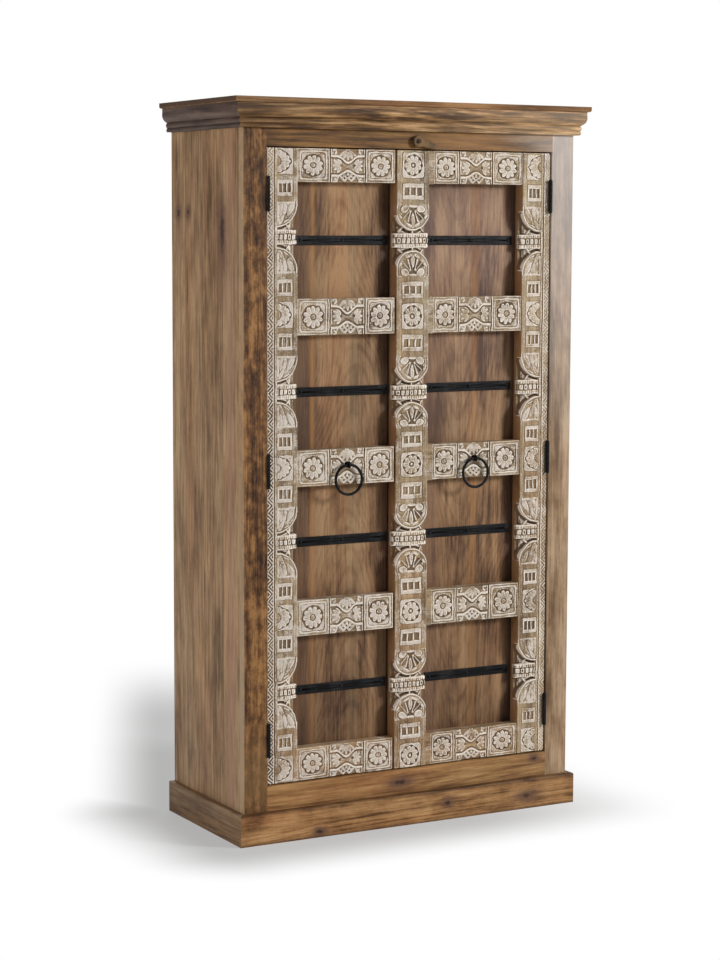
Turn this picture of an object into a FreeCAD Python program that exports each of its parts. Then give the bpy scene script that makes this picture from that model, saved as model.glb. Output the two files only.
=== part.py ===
import FreeCAD, Part
import math
import os

# A tall two-door cabinet with carved doors, iron straps, ring pulls and butt hinges.
# Frame: X to the right seen from the front, Y to the back, Z up, all lengths in mm.
# Origin: the middle of the footprint of the whole cabinet, on the floor.

# Overall size
overall_height = 1800.0
body_width = 936.0
body_depth = 403.0
cornice_height = 71.0
cornice_overhang = 33.0
plinth_height = 78.0
plinth_overhang = 16.0

# Carcass boards
side_thickness = 22.0
floor_thickness = 22.0
ceiling_thickness = 22.0
shelf_thickness = 20.0
shelf_setback = 5.0
shelf_names = ("lower", "middle", "upper")
back_thickness = 12.0
back_board_count = 8
back_board_gap = 0.6
back_board_bevel = 2.5
back_floor_gap = 20.0
back_rail_thickness = 22.0
glue_block_width = 40.0
cleat_section = 22.0
cleat_end_gap = 20.0

# Face frame round the doors
frame_thickness = 22.0
frame_stile_width = 63.0
frame_rail_height = 100.0
frame_show_over_plinth = 62.0
frame_show_under_cornice = 43.0
frame_tenon_length = 30.0
frame_tenon_thickness = 8.0
frame_tenon_shoulder = 15.0

# Cornice moulding, heights from its underside and projections from the body
slab_thickness = 13.0
slab_round = 5.0
bead_height = 9.5
bead_projection = 14.0
roll_height = 13.5
roll_projection = 15.0
quirk_projection = 12.0
ovolo_height = 23.0
ovolo_projection = 25.0
ovolo_belly = 3.5
moulding_nose = 2.5

# Plinth boards
plinth_round = 4.0

# Doors
door_gap = 3.0
door_recess = 4.0
door_thickness = 46.0
door_panel_thickness = 12.0
door_stile_width = 82.0
centre_stile_width = 91.4
panel_rabbet = 12.0
meeting_gap = 4.5
panel_meeting_gap = 5.5
panel_meeting_bevel = 3.0
stop_width = 150.0
stop_depth = 20.0
stop_lap = 28.0
stop_clearance = 0.5

# Door rails, one level for each rosette of the stiles
rail_levels = 5
end_rail_inset = 36.0
rail_height = 88.0
rail_recess = 2.0
rail_tenon_length = 30.0
rail_tenon_thickness = 12.0
rail_tenon_shoulder = 14.0
end_block_width = 14.0
end_block_height = 92.0

# Carved tiles on the rails
scroll_tile_width = 91.0
scroll_tile_shift = 0.85
tile_gap = 5.0
tile_border = 5.0
carving_depth = 3.0
flower_petals = 8
flower_reach = 26.0
flower_petal_radius = 8.5
flower_button_radius = 5.0
flower_button_groove = 2.0
scroll_band = 15.0
scroll_lobe_radius = 19.0

# Carved motifs on the stiles
chevron_strip_width = 18.0
strip_groove_width = 2.0
strip_groove_depth = 2.5
motif_axis_inset = 27.0
motif_groove_width = 2.5
motif_groove_depth = 2.5
rosette_width = 62.0
rosette_ring_radius = 23.0
bars_width = 60.0
bars_height = 40.0
bars_offset = 64.0
neck_reach = 86.0
lotus_rise = 62.0
neck_depth = 24.0
waist_inset = 10.0
waist_crown_depth = 8.0
waist_edge_depth = 20.0
collar_height = 36.0
collar_bulge = 2.5
collar_crown_depth = 2.0
collar_edge_depth = 12.0

# Iron straps across the door panels, and their nails
strap_height = 23.0
strap_thickness = 3.0
strap_wall_gap = 12.0
strap_meeting_gap = 8.0
nail_end_inset = 12.0
nail_head_radius = 5.0
nail_head_height = 2.8
nail_radius = 1.6
nail_cover = 4.0

# Butt hinges
bottom_hinge_rise = 110.0
middle_hinge_drop = 2.0
top_hinge_drop = 109.0
hinge_height = 80.0
hinge_knuckles = 5
knuckle_gap = 0.4
barrel_radius = 4.3
pin_radius = 1.75
pin_bore_clearance = 0.1
pin_head_radius = 3.2
pin_head_height = 2.0
barrel_edge_lap = 0.05
hinge_axis_proud = 1.35
leaf_thickness = 1.2
leaf_depth = 17.0
leaf_barrel_clearance = 1.2
hinge_screw_spread = 26.0
notch_margin = 4.0
notch_slope = 6.0
notch_side_room = 1.45
notch_depth = 4.0

# Wood screws
screw_head_radius = 3.2
screw_head_depth = 2.0
screw_radius = 1.7
screw_length = 20.0
screw_slot_width = 0.9
screw_slot_depth = 0.7
cleat_screw_radius = 2.2
cleat_screw_head_radius = 4.2
cleat_screw_cover = 8.0
cleat_screw_inset = 45.0
screw_clearance = 0.1

# Ring pulls
ring_outer_radius = 40.0
ring_wire_radius = 3.5
ring_rise = 5.0
eye_clearance = 0.6
eye_wire_radius = 2.3
eye_plate_radius = 8.0
eye_plate_thickness = 1.5
eye_plate_lap = 1.0
eye_shank_radius = 3.0
eye_shank_length = 24.0

# Turn latch over the doors
latch_across = 7.5
latch_rise = 19.0
latch_head_radius = 14.5
latch_neck_half_width = 10.0
latch_neck_distance = 13.0
latch_tip_radius = 6.5
latch_tip_distance = 47.5
latch_thickness = 5.0
latch_edge_chamfer = 0.8
latch_rest_dip = 16.0
latch_hole_clearance = 0.1
latch_running_gap = 0.3
latch_washer_radius = 8.0
latch_washer_thickness = 5.5
latch_screw_radius = 2.5
latch_screw_head_radius = 5.0
latch_screw_head_height = 3.0
latch_screw_cover = 5.0

# One overrun for every cut that has to pass a face
overrun = 1.0

# Places worked out from the sizes
body_half = body_width / 2
body_front = -(body_depth + cornice_overhang) / 2 + cornice_overhang
body_back = body_front + body_depth
frame_back = body_front + frame_thickness
inner_half = body_half - side_thickness
inner_back = body_back - back_thickness
cornice_bottom = overall_height - cornice_height
slab_bottom = overall_height - slab_thickness
opening_half = body_half - frame_stile_width
opening_bottom = plinth_height + frame_show_over_plinth
opening_top = cornice_bottom - frame_show_under_cornice
floor_bottom = opening_bottom - floor_thickness
ceiling_bottom = slab_bottom - ceiling_thickness
door_half = opening_half - door_gap
door_bottom = opening_bottom + door_gap
door_top = opening_top - door_gap
door_middle = (door_bottom + door_top) / 2
door_front = body_front + door_recess
door_back = door_front + door_thickness
panel_front = door_back - door_panel_thickness
rail_front = door_front + rail_recess
stile_edge = door_half - door_stile_width
centre_half = centre_stile_width / 2
rail_pitch = (door_top - door_bottom - 2 * end_rail_inset) / (rail_levels - 1)
scroll_tile_middle = (centre_half + stile_edge) / 2 - scroll_tile_shift
nail_length = strap_thickness + door_panel_thickness - nail_cover
cleat_screw_length = cleat_section + side_thickness - cleat_screw_cover
shelf_front = door_back + shelf_setback
hinge_levels = (door_bottom + bottom_hinge_rise, door_middle - middle_hinge_drop,
                door_top - top_hinge_drop)
hinge_x = opening_half - barrel_radius + barrel_edge_lap
hinge_y = body_front - hinge_axis_proud
leaf_front = hinge_y + barrel_radius + leaf_barrel_clearance
notch_width = door_half - hinge_x + barrel_radius + notch_side_room
ring_level = door_middle + ring_rise
eye_radius = ring_wire_radius + eye_clearance + eye_wire_radius
eye_y = rail_front - eye_plate_thickness + eye_plate_lap - eye_radius - eye_wire_radius
latch_level = opening_top + latch_rise
latch_back = body_front - latch_washer_thickness - latch_running_gap
latch_front = latch_back - latch_thickness
latch_screw_length = frame_thickness - latch_screw_cover

EAST = FreeCAD.Vector(1, 0, 0)
NORTH = FreeCAD.Vector(0, 1, 0)
UP = FreeCAD.Vector(0, 0, 1)


def point(x, y, z):
    return FreeCAD.Vector(x, y, z)


def box(x_pair, y_pair, z_pair):
    """A box between two values on each axis, in either order."""
    low = [min(pair) for pair in (x_pair, y_pair, z_pair)]
    high = [max(pair) for pair in (x_pair, y_pair, z_pair)]
    size = [b - a for a, b in zip(low, high)]
    return Part.makeBox(size[0], size[1], size[2], point(*low))


def rod(radius, start, direction, length):
    return Part.makeCylinder(radius, length, start, direction)


def joined(shapes):
    """Touching or crossing solids as one solid, with no seams left on flat faces."""
    whole = shapes[0]
    if len(shapes) > 1:
        whole = whole.fuse(shapes[1:])
    return whole.removeSplitter()


def prism(edges, travel):
    """A solid swept from a closed chain of edges along one vector."""
    wire = Part.Wire(edges)
    return Part.Face(wire).extrude(travel)


def polygon(corners):
    ring = list(corners) + [corners[0]]
    return [Part.LineSegment(a, b).toShape() for a, b in zip(ring, ring[1:])]


def arc(a, b, c):
    return Part.Arc(a, b, c).toShape()


def line(a, b):
    return Part.LineSegment(a, b).toShape()


def save(name, solids):
    """Write one sub-part; a list becomes a group of separate solids."""
    shape = solids[0]
    if len(solids) > 1:
        shape = Part.makeCompound(solids)
    shape.exportStep("parts/" + name + ".step")


def level(step):
    """Height of a rosette and rail, counted from the bottom."""
    return door_bottom + end_rail_inset + step * rail_pitch


def neck_level(step):
    """Height of a stile's collar and a strap, halfway between two rails."""
    return (level(step) + level(step + 1)) / 2


def side_name(side):
    return "left" if side < 0 else "right"


# Wood screws and their holes

def screw_body(start, direction, head_radius, radius, length, grow):
    """A countersunk screw, or the hole for one when grow is a clearance."""
    head = Part.makeCone(head_radius + grow, radius + grow, screw_head_depth, start, direction)
    shank = rod(radius + grow, start, direction, length + grow)
    return joined([head, shank])


def slotted(screw, start, direction, head_radius):
    """Cut the driver slot into a screw's flat head."""
    reach = head_radius + overrun
    along = box((-screw_slot_width / 2, screw_slot_width / 2), (-reach, reach),
                (-overrun, screw_slot_depth))
    turn = FreeCAD.Rotation(UP, direction)
    along.Placement = FreeCAD.Placement(start, turn)
    return screw.cut(along)


def hinge_screw_places(side, into_frame):
    """Head centres and direction of the screws through one set of leaves."""
    if into_frame:
        x = side * (opening_half - leaf_thickness)
        direction = EAST * side
    else:
        x = side * (door_half + leaf_thickness)
        direction = EAST * -side
    y = leaf_front + leaf_depth / 2
    places = []
    for height in hinge_levels:
        for shift in (-hinge_screw_spread, 0, hinge_screw_spread):
            places.append((point(x, y, height + shift), direction))
    return places


def hinge_screws(side, into_frame):
    screws = []
    for start, direction in hinge_screw_places(side, into_frame):
        screw = screw_body(start, direction, screw_head_radius, screw_radius, screw_length, 0)
        screws.append(slotted(screw, start, direction, screw_head_radius))
    return screws


def without_hinge_screws(shape, side, into_frame):
    holes = []
    for start, direction in hinge_screw_places(side, into_frame):
        holes.append(screw_body(start, direction, screw_head_radius, screw_radius,
                                screw_length, screw_clearance))
    return shape.cut(holes)


# Carcass

def shelf_bottoms():
    """Undersides of the shelves, which share the inside height evenly."""
    count = len(shelf_names)
    inside = ceiling_bottom - opening_bottom - count * shelf_thickness
    bay = inside / (count + 1)
    return [opening_bottom + bay + k * (bay + shelf_thickness) for k in range(count)]


def cleat_screw_places(side):
    places = []
    y_pair = (shelf_front + cleat_screw_inset, inner_back - cleat_screw_inset)
    x = side * (inner_half - cleat_section)
    for bottom in shelf_bottoms():
        for y in y_pair:
            places.append(point(x, y, bottom - cleat_section / 2))
    return places


def cleat_screw_shapes(side, grow):
    return [screw_body(start, EAST * side, cleat_screw_head_radius, cleat_screw_radius,
                       cleat_screw_length, grow) for start in cleat_screw_places(side)]


def side_panel(side):
    board = box((side * inner_half, side * body_half), (frame_back, body_back), (0, slab_bottom))
    return board.cut(cleat_screw_shapes(side, screw_clearance))


def shelf_cleats(side):
    cleats = []
    y_pair = (shelf_front + cleat_end_gap, inner_back - cleat_end_gap)
    x_pair = (side * (inner_half - cleat_section), side * inner_half)
    holes = cleat_screw_shapes(side, screw_clearance)
    for bottom in shelf_bottoms():
        cleat = box(x_pair, y_pair, (bottom - cleat_section, bottom))
        cleats.append(cleat.cut(holes))
    return cleats


def cleat_screws(side):
    shapes = cleat_screw_shapes(side, 0)
    starts = cleat_screw_places(side)
    return [slotted(s, p, EAST * side, cleat_screw_head_radius) for s, p in zip(shapes, starts)]


def back_board(index):
    """One upright board of the back, with its outer edges bevelled."""
    width = 2 * inner_half / back_board_count
    x0 = -inner_half + index * width
    x1 = x0 + width - back_board_gap
    bevel = back_board_bevel
    corners = [point(x0, inner_back, back_floor_gap),
               point(x1, inner_back, back_floor_gap),
               point(x1, body_back - bevel, back_floor_gap),
               point(x1 - bevel, body_back, back_floor_gap),
               point(x0 + bevel, body_back, back_floor_gap),
               point(x0, body_back - bevel, back_floor_gap)]
    return prism(polygon(corners), UP * (slab_bottom - back_floor_gap))


def inside_board(y_pair, z_pair):
    return box((-inner_half, inner_half), y_pair, z_pair)


def glue_blocks():
    """Four corner blocks under the floor of the cabinet."""
    blocks = []
    front = (frame_back, frame_back + glue_block_width)
    rear_face = inner_back - back_rail_thickness
    rear = (rear_face - glue_block_width, rear_face)
    for side in (-1, 1):
        x_pair = (side * (inner_half - glue_block_width), side * inner_half)
        for y_pair in (front, rear):
            blocks.append(box(x_pair, y_pair, (back_floor_gap, floor_bottom)))
    return blocks


def frame_rail_tenons(z_pair):
    """Both tenons of a frame rail, which also shape their mortises."""
    middle = (body_front + frame_back) / 2
    y_pair = (middle - frame_tenon_thickness / 2, middle + frame_tenon_thickness / 2)
    heights = (z_pair[0] + frame_tenon_shoulder, z_pair[1] - frame_tenon_shoulder)
    return [box((side * opening_half, side * (opening_half + frame_tenon_length)),
                y_pair, heights) for side in (-1, 1)]


frame_rail_spans = {
    "frame_top_rail": (opening_top, slab_bottom),
    "frame_bottom_rail": (opening_bottom - frame_rail_height, opening_bottom),
}


def frame_rail(name):
    z_pair = frame_rail_spans[name]
    board = box((-opening_half, opening_half), (body_front, frame_back), z_pair)
    rail = joined([board] + frame_rail_tenons(z_pair))
    if name == "frame_top_rail":
        rail = rail.cut(latch_screw_shape(screw_clearance))
    return rail


def frame_stile(side):
    board = box((side * opening_half, side * body_half), (body_front, frame_back),
                (0, slab_bottom))
    for z_pair in frame_rail_spans.values():
        board = board.cut(frame_rail_tenons(z_pair))
    return without_hinge_screws(board, side, True)


def door_stop():
    """A block behind the top frame rail that both closed doors meet."""
    x_pair = (-stop_width / 2, stop_width / 2)
    stop_front = door_back + stop_clearance
    stop_back = stop_front + stop_depth
    arm = box(x_pair, (frame_back, stop_back), (opening_top, opening_top + stop_lap))
    lip = box(x_pair, (stop_front, stop_back), (door_top - stop_lap, opening_top + stop_lap))
    return joined([arm, lip])


# Mouldings that run round the front and the sides

def mitred_runs(section, reach):
    """The front, left and right runs of a moulding with mitred front corners.

    section(origin, out) gives the closed edges of the profile, with out pointing
    away from the body; reach is the largest projection.
    """
    far = reach + overrun
    front_start = point(-body_half - far, body_front, 0)
    front = prism(section(front_start, -NORTH), EAST * 2 * (body_half + far))
    low_z = front.BoundBox.ZMin - overrun
    height = front.BoundBox.ZLength + 2 * overrun
    runs = {}
    cuts = []
    for side in (-1, 1):
        corner = point(side * body_half, body_front, low_z)
        outer = point(side * (body_half + far), body_front - far, low_z)
        end = point(side * (body_half + far), body_front, low_z)
        cuts.append(prism(polygon([corner, outer, end]), UP * height))
        side_start = point(side * body_half, body_front - far, 0)
        run = prism(section(side_start, EAST * side), NORTH * (body_depth + far))
        front_of_mitre = point(side * body_half, body_front - far, low_z)
        wedge = prism(polygon([corner, outer, front_of_mitre]), UP * height)
        runs[side_name(side)] = run.cut(wedge)
    runs["front"] = front.cut(cuts)
    return runs


def cornice_section(origin, out):
    """Bead, roll and ovolo under the top board."""
    def at(projection, height):
        return origin + out * projection + UP * (cornice_bottom + height)

    nose = moulding_nose
    bead_top = bead_height
    roll_top = bead_top + roll_height
    ovolo_top = roll_top + ovolo_height
    total = slab_bottom - cornice_bottom
    belly = at((quirk_projection + ovolo_projection) / 2 + ovolo_belly,
               (roll_top + ovolo_top) / 2 - ovolo_belly)
    return [
        line(at(0, 0), at(bead_projection - nose, 0)),
        arc(at(bead_projection - nose, 0), at(bead_projection, bead_top / 2),
            at(bead_projection - nose, bead_top)),
        arc(at(bead_projection - nose, bead_top),
            at(roll_projection, (bead_top + roll_top) / 2),
            at(quirk_projection, roll_top)),
        arc(at(quirk_projection, roll_top), belly, at(ovolo_projection, ovolo_top)),
        line(at(ovolo_projection, ovolo_top), at(ovolo_projection, total)),
        line(at(ovolo_projection, total), at(0, total)),
        line(at(0, total), at(0, 0)),
    ]


def plinth_section(origin, out):
    """A plain board with its upper outer edge rounded."""
    def at(projection, height):
        return origin + out * projection + UP * height

    bend = plinth_round * (1 - math.sqrt(0.5))
    start = at(plinth_overhang, plinth_height - plinth_round)
    middle = at(plinth_overhang - bend, plinth_height - bend)
    finish = at(plinth_overhang - plinth_round, plinth_height)
    return [
        line(at(0, 0), at(plinth_overhang, 0)),
        line(at(plinth_overhang, 0), start),
        arc(start, middle, finish),
        line(finish, at(0, plinth_height)),
        line(at(0, plinth_height), at(0, 0)),
    ]


def cornice_slab():
    """The top board, with its lower edge rounded on the front and the sides."""
    half = body_half + cornice_overhang
    front = body_front - cornice_overhang
    board = box((-half, half), (front, body_back), (slab_bottom, overall_height))
    edges = []
    for edge in board.Edges:
        middle = edge.CenterOfMass
        low = abs(middle.z - slab_bottom) < overrun
        behind = abs(middle.y - body_back) < overrun
        if low and not behind:
            edges.append(edge)
    return board.makeFillet(slab_round, edges)


# Hinges

def knuckle(side, height, index):
    """One knuckle of a hinge, counted from the bottom; the odd ones are the door's."""
    pitch = hinge_height / hinge_knuckles
    low = height - hinge_height / 2 + index * pitch
    high = low + pitch
    if index % 2:
        low = low + knuckle_gap
        high = high - knuckle_gap
    return low, high


def hinge_leaf(side, height, on_frame):
    if on_frame:
        x_pair = (side * (opening_half - leaf_thickness), side * opening_half)
        first = 0
    else:
        x_pair = (side * door_half, side * (door_half + leaf_thickness))
        first = 1
    z_pair = (height - hinge_height / 2, height + hinge_height / 2)
    pieces = [box(x_pair, (leaf_front, leaf_front + leaf_depth), z_pair)]
    for index in range(first, hinge_knuckles, 2):
        low, high = knuckle(side, height, index)
        pieces.append(rod(barrel_radius, point(side * hinge_x, hinge_y, low), UP, high - low))
        pieces.append(box(x_pair, (hinge_y, leaf_front), (low, high)))
    leaf = joined(pieces)
    bore_start = point(side * hinge_x, hinge_y, z_pair[0] - overrun)
    bore = rod(pin_radius + pin_bore_clearance, bore_start, UP, hinge_height + 2 * overrun)
    return without_hinge_screws(leaf.cut(bore), side, on_frame)


def hinge_pin(side, height):
    """A hinge pin whose two button heads sit on the end knuckles."""
    x, y = side * hinge_x, hinge_y
    low = height - hinge_height / 2
    shaft = rod(pin_radius, point(x, y, low), UP, hinge_height)
    top = rod(pin_head_radius, point(x, y, low + hinge_height), UP, pin_head_height)
    foot = rod(pin_head_radius, point(x, y, low), -UP, pin_head_height)
    return joined([shaft, top, foot])


# Carved stiles of the doors

def neck_shapes(axis, half, side_span, height):
    """Cut and added solids of one collar with its waist, between two lotus fans."""
    x_pair = side_span
    waist_half = half - waist_inset
    collar_half = half + collar_bulge
    back = door_front + neck_depth
    bottom = height - neck_reach
    pocket = box(x_pair, (door_front - overrun, back), (bottom, height + neck_reach))
    domes = []
    for direction in (-1, 1):
        foot = height + direction * neck_reach
        tip = foot - direction * lotus_rise
        a = point(axis - half, door_front, foot)
        b = point(axis, door_front, tip)
        c = point(axis + half, door_front, foot)
        domes.append(prism([arc(a, b, c), line(c, a)], NORTH * neck_depth))

    def swell(half_width, crown, edge, low, tall):
        a = point(axis - half_width, door_front + edge, low)
        b = point(axis, door_front + crown, low)
        c = point(axis + half_width, door_front + edge, low)
        rear = [point(axis + half_width, back, low), point(axis - half_width, back, low)]
        edges = [arc(a, b, c), line(c, rear[0]), line(rear[0], rear[1]), line(rear[1], a)]
        return prism(edges, UP * tall)

    waist = swell(waist_half, waist_crown_depth, waist_edge_depth, bottom, 2 * neck_reach)
    collar = swell(collar_half, collar_crown_depth, collar_edge_depth,
                   height - collar_height / 2, collar_height)
    return pocket, domes, waist, collar


def carved_necks(board, axis, half, motif_span, collar_span):
    """Give a stile its collars, waists and lotus fans at each neck level."""
    room = box(motif_span, (door_front, door_back), (door_bottom, door_top))
    wide_room = box(collar_span, (door_front, door_back), (door_bottom, door_top))
    for step in range(rail_levels - 1):
        pocket, domes, waist, collar = neck_shapes(axis, half, motif_span, neck_level(step))
        board = board.cut(pocket)
        fills = [dome.common(room) for dome in domes]
        fills.append(waist.common(room))
        fills.append(collar.common(wide_room))
        board = board.fuse(fills)
    return board.removeSplitter()


def groove_ring(x_pair, z_pair):
    """A sunk rectangular line round a motif, cut from the face of a stile."""
    y_pair = (door_front - overrun, door_front + motif_groove_depth)
    outer = box(x_pair, y_pair, z_pair)
    w = motif_groove_width
    inner = box((x_pair[0] + w, x_pair[1] - w), y_pair, (z_pair[0] + w, z_pair[1] - w))
    return outer.cut(inner)


def carved_motifs(board, axis, motif_span):
    """Cut the rosettes and the barred tablets of a stile."""
    room = box(motif_span, (door_front - overrun, door_back), (door_bottom, door_top))
    cuts = []
    start_y = door_front - overrun
    reach = overrun + motif_groove_depth
    for step in range(rail_levels):
        centre = level(step)
        half = rosette_width / 2
        ring = rod(rosette_ring_radius, point(axis, start_y, centre), NORTH, reach)
        core = rod(rosette_ring_radius - motif_groove_width,
                   point(axis, start_y, centre), NORTH, reach)
        cuts.append(ring.cut(core))
        cuts.append(groove_ring((axis - half, axis + half), (centre - half, centre + half)))
        for direction in (-1, 1):
            tablet = centre + direction * bars_offset
            cuts.append(groove_ring((axis - bars_width / 2, axis + bars_width / 2),
                                    (tablet - bars_height / 2, tablet + bars_height / 2)))
    for cut in cuts:
        inside = cut.common(room)
        if inside.Volume > 0:
            board = board.cut(inside)
    return board


def hinge_notches(side):
    """Slanted cuts in a door's front edge behind the hinge barrels."""
    notches = []
    outer = side * (door_half + overrun)
    inner = side * (door_half - notch_width)
    start = door_front - overrun
    for height in hinge_levels:
        tall = hinge_height / 2 + notch_margin
        short = tall - notch_slope
        corners = [point(outer, start, height - tall), point(inner, start, height - short),
                   point(inner, start, height + short), point(outer, start, height + tall)]
        notches.append(prism(polygon(corners), NORTH * (notch_depth + overrun)))
    return notches


def rail_tenon(x_pair, step):
    """The tongue of a door rail, which also shapes its mortise."""
    bottom, top = rail_span(step)
    middle = (rail_front + panel_front) / 2
    y_pair = (middle - rail_tenon_thickness / 2, middle + rail_tenon_thickness / 2)
    return box(x_pair, y_pair, (bottom + rail_tenon_shoulder, top - rail_tenon_shoulder))


def door_stile(side):
    """The hinge stile of a door, with half of each motif along its inner edge."""
    board = box((side * stile_edge, side * door_half), (door_front, door_back),
                (door_bottom, door_top))
    rabbet = box((side * stile_edge, side * (stile_edge + panel_rabbet)),
                 (panel_front, door_back), (door_bottom, door_top))
    board = board.cut(rabbet)
    axis = side * (door_half - motif_axis_inset)
    half = door_half - motif_axis_inset - stile_edge
    motif_span = sorted((axis, side * stile_edge))
    collar_span = sorted((axis, side * (stile_edge - collar_bulge)))
    board = carved_necks(board, axis, half, motif_span, collar_span)
    board = carved_motifs(board, axis, motif_span)
    strip = side * (door_half - chevron_strip_width)
    groove = box((strip, strip - side * strip_groove_width),
                 (door_front, door_front + strip_groove_depth), (door_bottom, door_top))
    mortises = [rail_tenon((side * stile_edge, side * (stile_edge + rail_tenon_length)), step)
                for step in range(rail_levels)]
    board = board.cut([groove] + hinge_notches(side) + mortises)
    return without_hinge_screws(board, side, False)


def centre_stile():
    """The middle stile, carried by the right door."""
    board = box((-centre_half, centre_half), (door_front, door_back), (door_bottom, door_top))
    rabbet = box((centre_half - panel_rabbet, centre_half), (panel_front, door_back),
                 (door_bottom, door_top))
    board = board.cut(rabbet)
    motif_span = (-centre_half, centre_half)
    reach = centre_half + collar_bulge
    board = carved_necks(board, 0, centre_half, motif_span, (-reach, reach))
    return carved_motifs(board, 0, motif_span)


# Panels, rails and straps of the doors

def door_panel(side):
    """The flat panel behind the rails; the left one has a free bevelled edge."""
    outer = stile_edge + panel_rabbet
    if side > 0:
        x_pair = (centre_half - panel_rabbet, outer)
        panel = box(x_pair, (panel_front, door_back), (door_bottom, door_top))
    else:
        free = -centre_half - panel_meeting_gap
        corners = [point(-outer, panel_front, door_bottom), point(free, panel_front, door_bottom),
                   point(free - panel_meeting_bevel, door_back, door_bottom),
                   point(-outer, door_back, door_bottom)]
        panel = prism(polygon(corners), UP * (door_top - door_bottom))
    holes = nail_shapes(side, screw_clearance)
    return panel.cut(holes)


def rail_span(step):
    """Bottom and top of a door rail; the end rails stop at the door's ends."""
    bottom = max(level(step) - rail_height / 2, door_bottom)
    top = min(level(step) + rail_height / 2, door_top)
    return bottom, top


def rail_inner_end(side):
    """Where a rail stops beside the centre stile."""
    if side < 0:
        return centre_half + meeting_gap
    return centre_half + end_block_width


def flower_tile(low, high, centre):
    """The sunk ground round a rosette, as a solid to cut from a rail."""
    across = (low + high) / 2
    half_x = (high - low) / 2 - tile_border
    half_z = rail_height / 2 - tile_border
    start = rail_front - overrun
    reach = carving_depth + overrun
    ground = box((across - half_x, across + half_x), (start, start + reach),
                 (centre - half_z, centre + half_z))
    disc = rod(flower_reach - flower_petal_radius, point(across, start, centre), NORTH, reach)
    petals = []
    for k in range(flower_petals):
        angle = 2 * math.pi * (k + 0.5) / flower_petals
        out = flower_reach - flower_petal_radius
        place = point(across + out * math.cos(angle), start, centre + out * math.sin(angle))
        petals.append(rod(flower_petal_radius, place, NORTH, reach))
    flower = disc.fuse(petals)
    groove = rod(flower_button_radius + flower_button_groove,
                 point(across, start, centre), NORTH, reach)
    button = rod(flower_button_radius, point(across, start, centre), NORTH, reach)
    return ground.cut(flower).fuse(groove.cut(button))


def scroll_tile(low, high, centre):
    """The sunk ground between two crossed leaf bands and four lobes."""
    across = (low + high) / 2
    half_x = (high - low) / 2 - tile_border
    half_z = rail_height / 2 - tile_border
    start = rail_front - overrun
    reach = carving_depth + overrun
    ground = box((across - half_x, across + half_x), (start, start + reach),
                 (centre - half_z, centre + half_z))
    kept = []
    for slope in (-1, 1):
        band = box((-rail_height, rail_height), (0, reach), (-scroll_band / 2, scroll_band / 2))
        band.rotate(point(0, 0, 0), NORTH, slope * math.degrees(math.atan2(half_z, half_x)))
        band.translate(point(across, start, centre))
        kept.append(band)
    for shift_x, shift_z in ((-half_x, 0), (half_x, 0), (0, -half_z), (0, half_z)):
        place = point(across + shift_x, start, centre + shift_z)
        kept.append(rod(scroll_lobe_radius, place, NORTH, reach))
    return ground.cut(kept)


def door_rail(side, step):
    bottom, top = rail_span(step)
    inner = rail_inner_end(side)
    bar = box((side * inner, side * stile_edge), (rail_front, panel_front), (bottom, top))
    tongue = rail_tenon((side * stile_edge, side * (stile_edge + rail_tenon_length)), step)
    rail = joined([bar, tongue])
    half = scroll_tile_width / 2
    centre = level(step)
    spans = {"inner": (inner, scroll_tile_middle - half - tile_gap),
             "outer": (scroll_tile_middle + half + tile_gap, stile_edge)}
    cuts = []
    for near, far in spans.values():
        low, high = sorted((side * near, side * far))
        cuts.append(flower_tile(low, high, centre))
    low, high = sorted((side * (scroll_tile_middle - half), side * (scroll_tile_middle + half)))
    cuts.append(scroll_tile(low, high, centre))
    for edge in (scroll_tile_middle - half, scroll_tile_middle + half + tile_gap):
        cuts.append(box((side * edge, side * (edge - tile_gap)),
                        (rail_front, rail_front + carving_depth), (bottom, top)))
    if step == (rail_levels - 1) / 2:
        cuts.append(eye_shank(side, screw_clearance))
        rail = rail.cut(cuts)
        backing = rod(eye_plate_radius, point(side * scroll_tile_middle, rail_front, ring_level),
                      NORTH, carving_depth)
        return rail.fuse(backing.cut(eye_shank(side, screw_clearance))).removeSplitter()
    return rail.cut(cuts)


def end_block(step):
    """A plain block between the centre stile and a rail of the right door."""
    bottom = max(level(step) - end_block_height / 2, door_bottom)
    top = min(level(step) + end_block_height / 2, door_top)
    return box((centre_half, centre_half + end_block_width), (rail_front, panel_front),
               (bottom, top))


def strap_span(side):
    """Distances from the middle of the cabinet to a strap's two ends."""
    if side < 0:
        return centre_half + strap_meeting_gap, stile_edge - strap_wall_gap
    return centre_half + end_block_width, stile_edge - strap_wall_gap


def nail_places(side):
    near, far = strap_span(side)
    xs = (near + nail_end_inset, (near + far) / 2, far - nail_end_inset)
    places = []
    for step in range(rail_levels - 1):
        for x in xs:
            places.append(point(side * x, panel_front - strap_thickness, neck_level(step)))
    return places


def nail_shapes(side, grow):
    """Shanks of the strap nails, or their holes when grow is a clearance."""
    return [rod(nail_radius + grow, place, NORTH, nail_length + grow)
            for place in nail_places(side)]


def straps(side):
    near, far = strap_span(side)
    bars = []
    holes = nail_shapes(side, screw_clearance)
    for step in range(rail_levels - 1):
        height = neck_level(step)
        bar = box((side * near, side * far), (panel_front - strap_thickness, panel_front),
                  (height - strap_height / 2, height + strap_height / 2))
        bars.append(bar.cut(holes))
    return bars


def strap_nails(side):
    """Dome-headed nails through the straps."""
    nails = []
    dome = (nail_head_radius ** 2 + nail_head_height ** 2) / (2 * nail_head_height)
    for place, shank in zip(nail_places(side), nail_shapes(side, 0)):
        ball = Part.makeSphere(dome, place + NORTH * (dome - nail_head_height))
        keep = rod(nail_head_radius + overrun, place, -NORTH, nail_head_height + overrun)
        nails.append(joined([ball.common(keep), shank]))
    return nails


# Ring pulls

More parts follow.
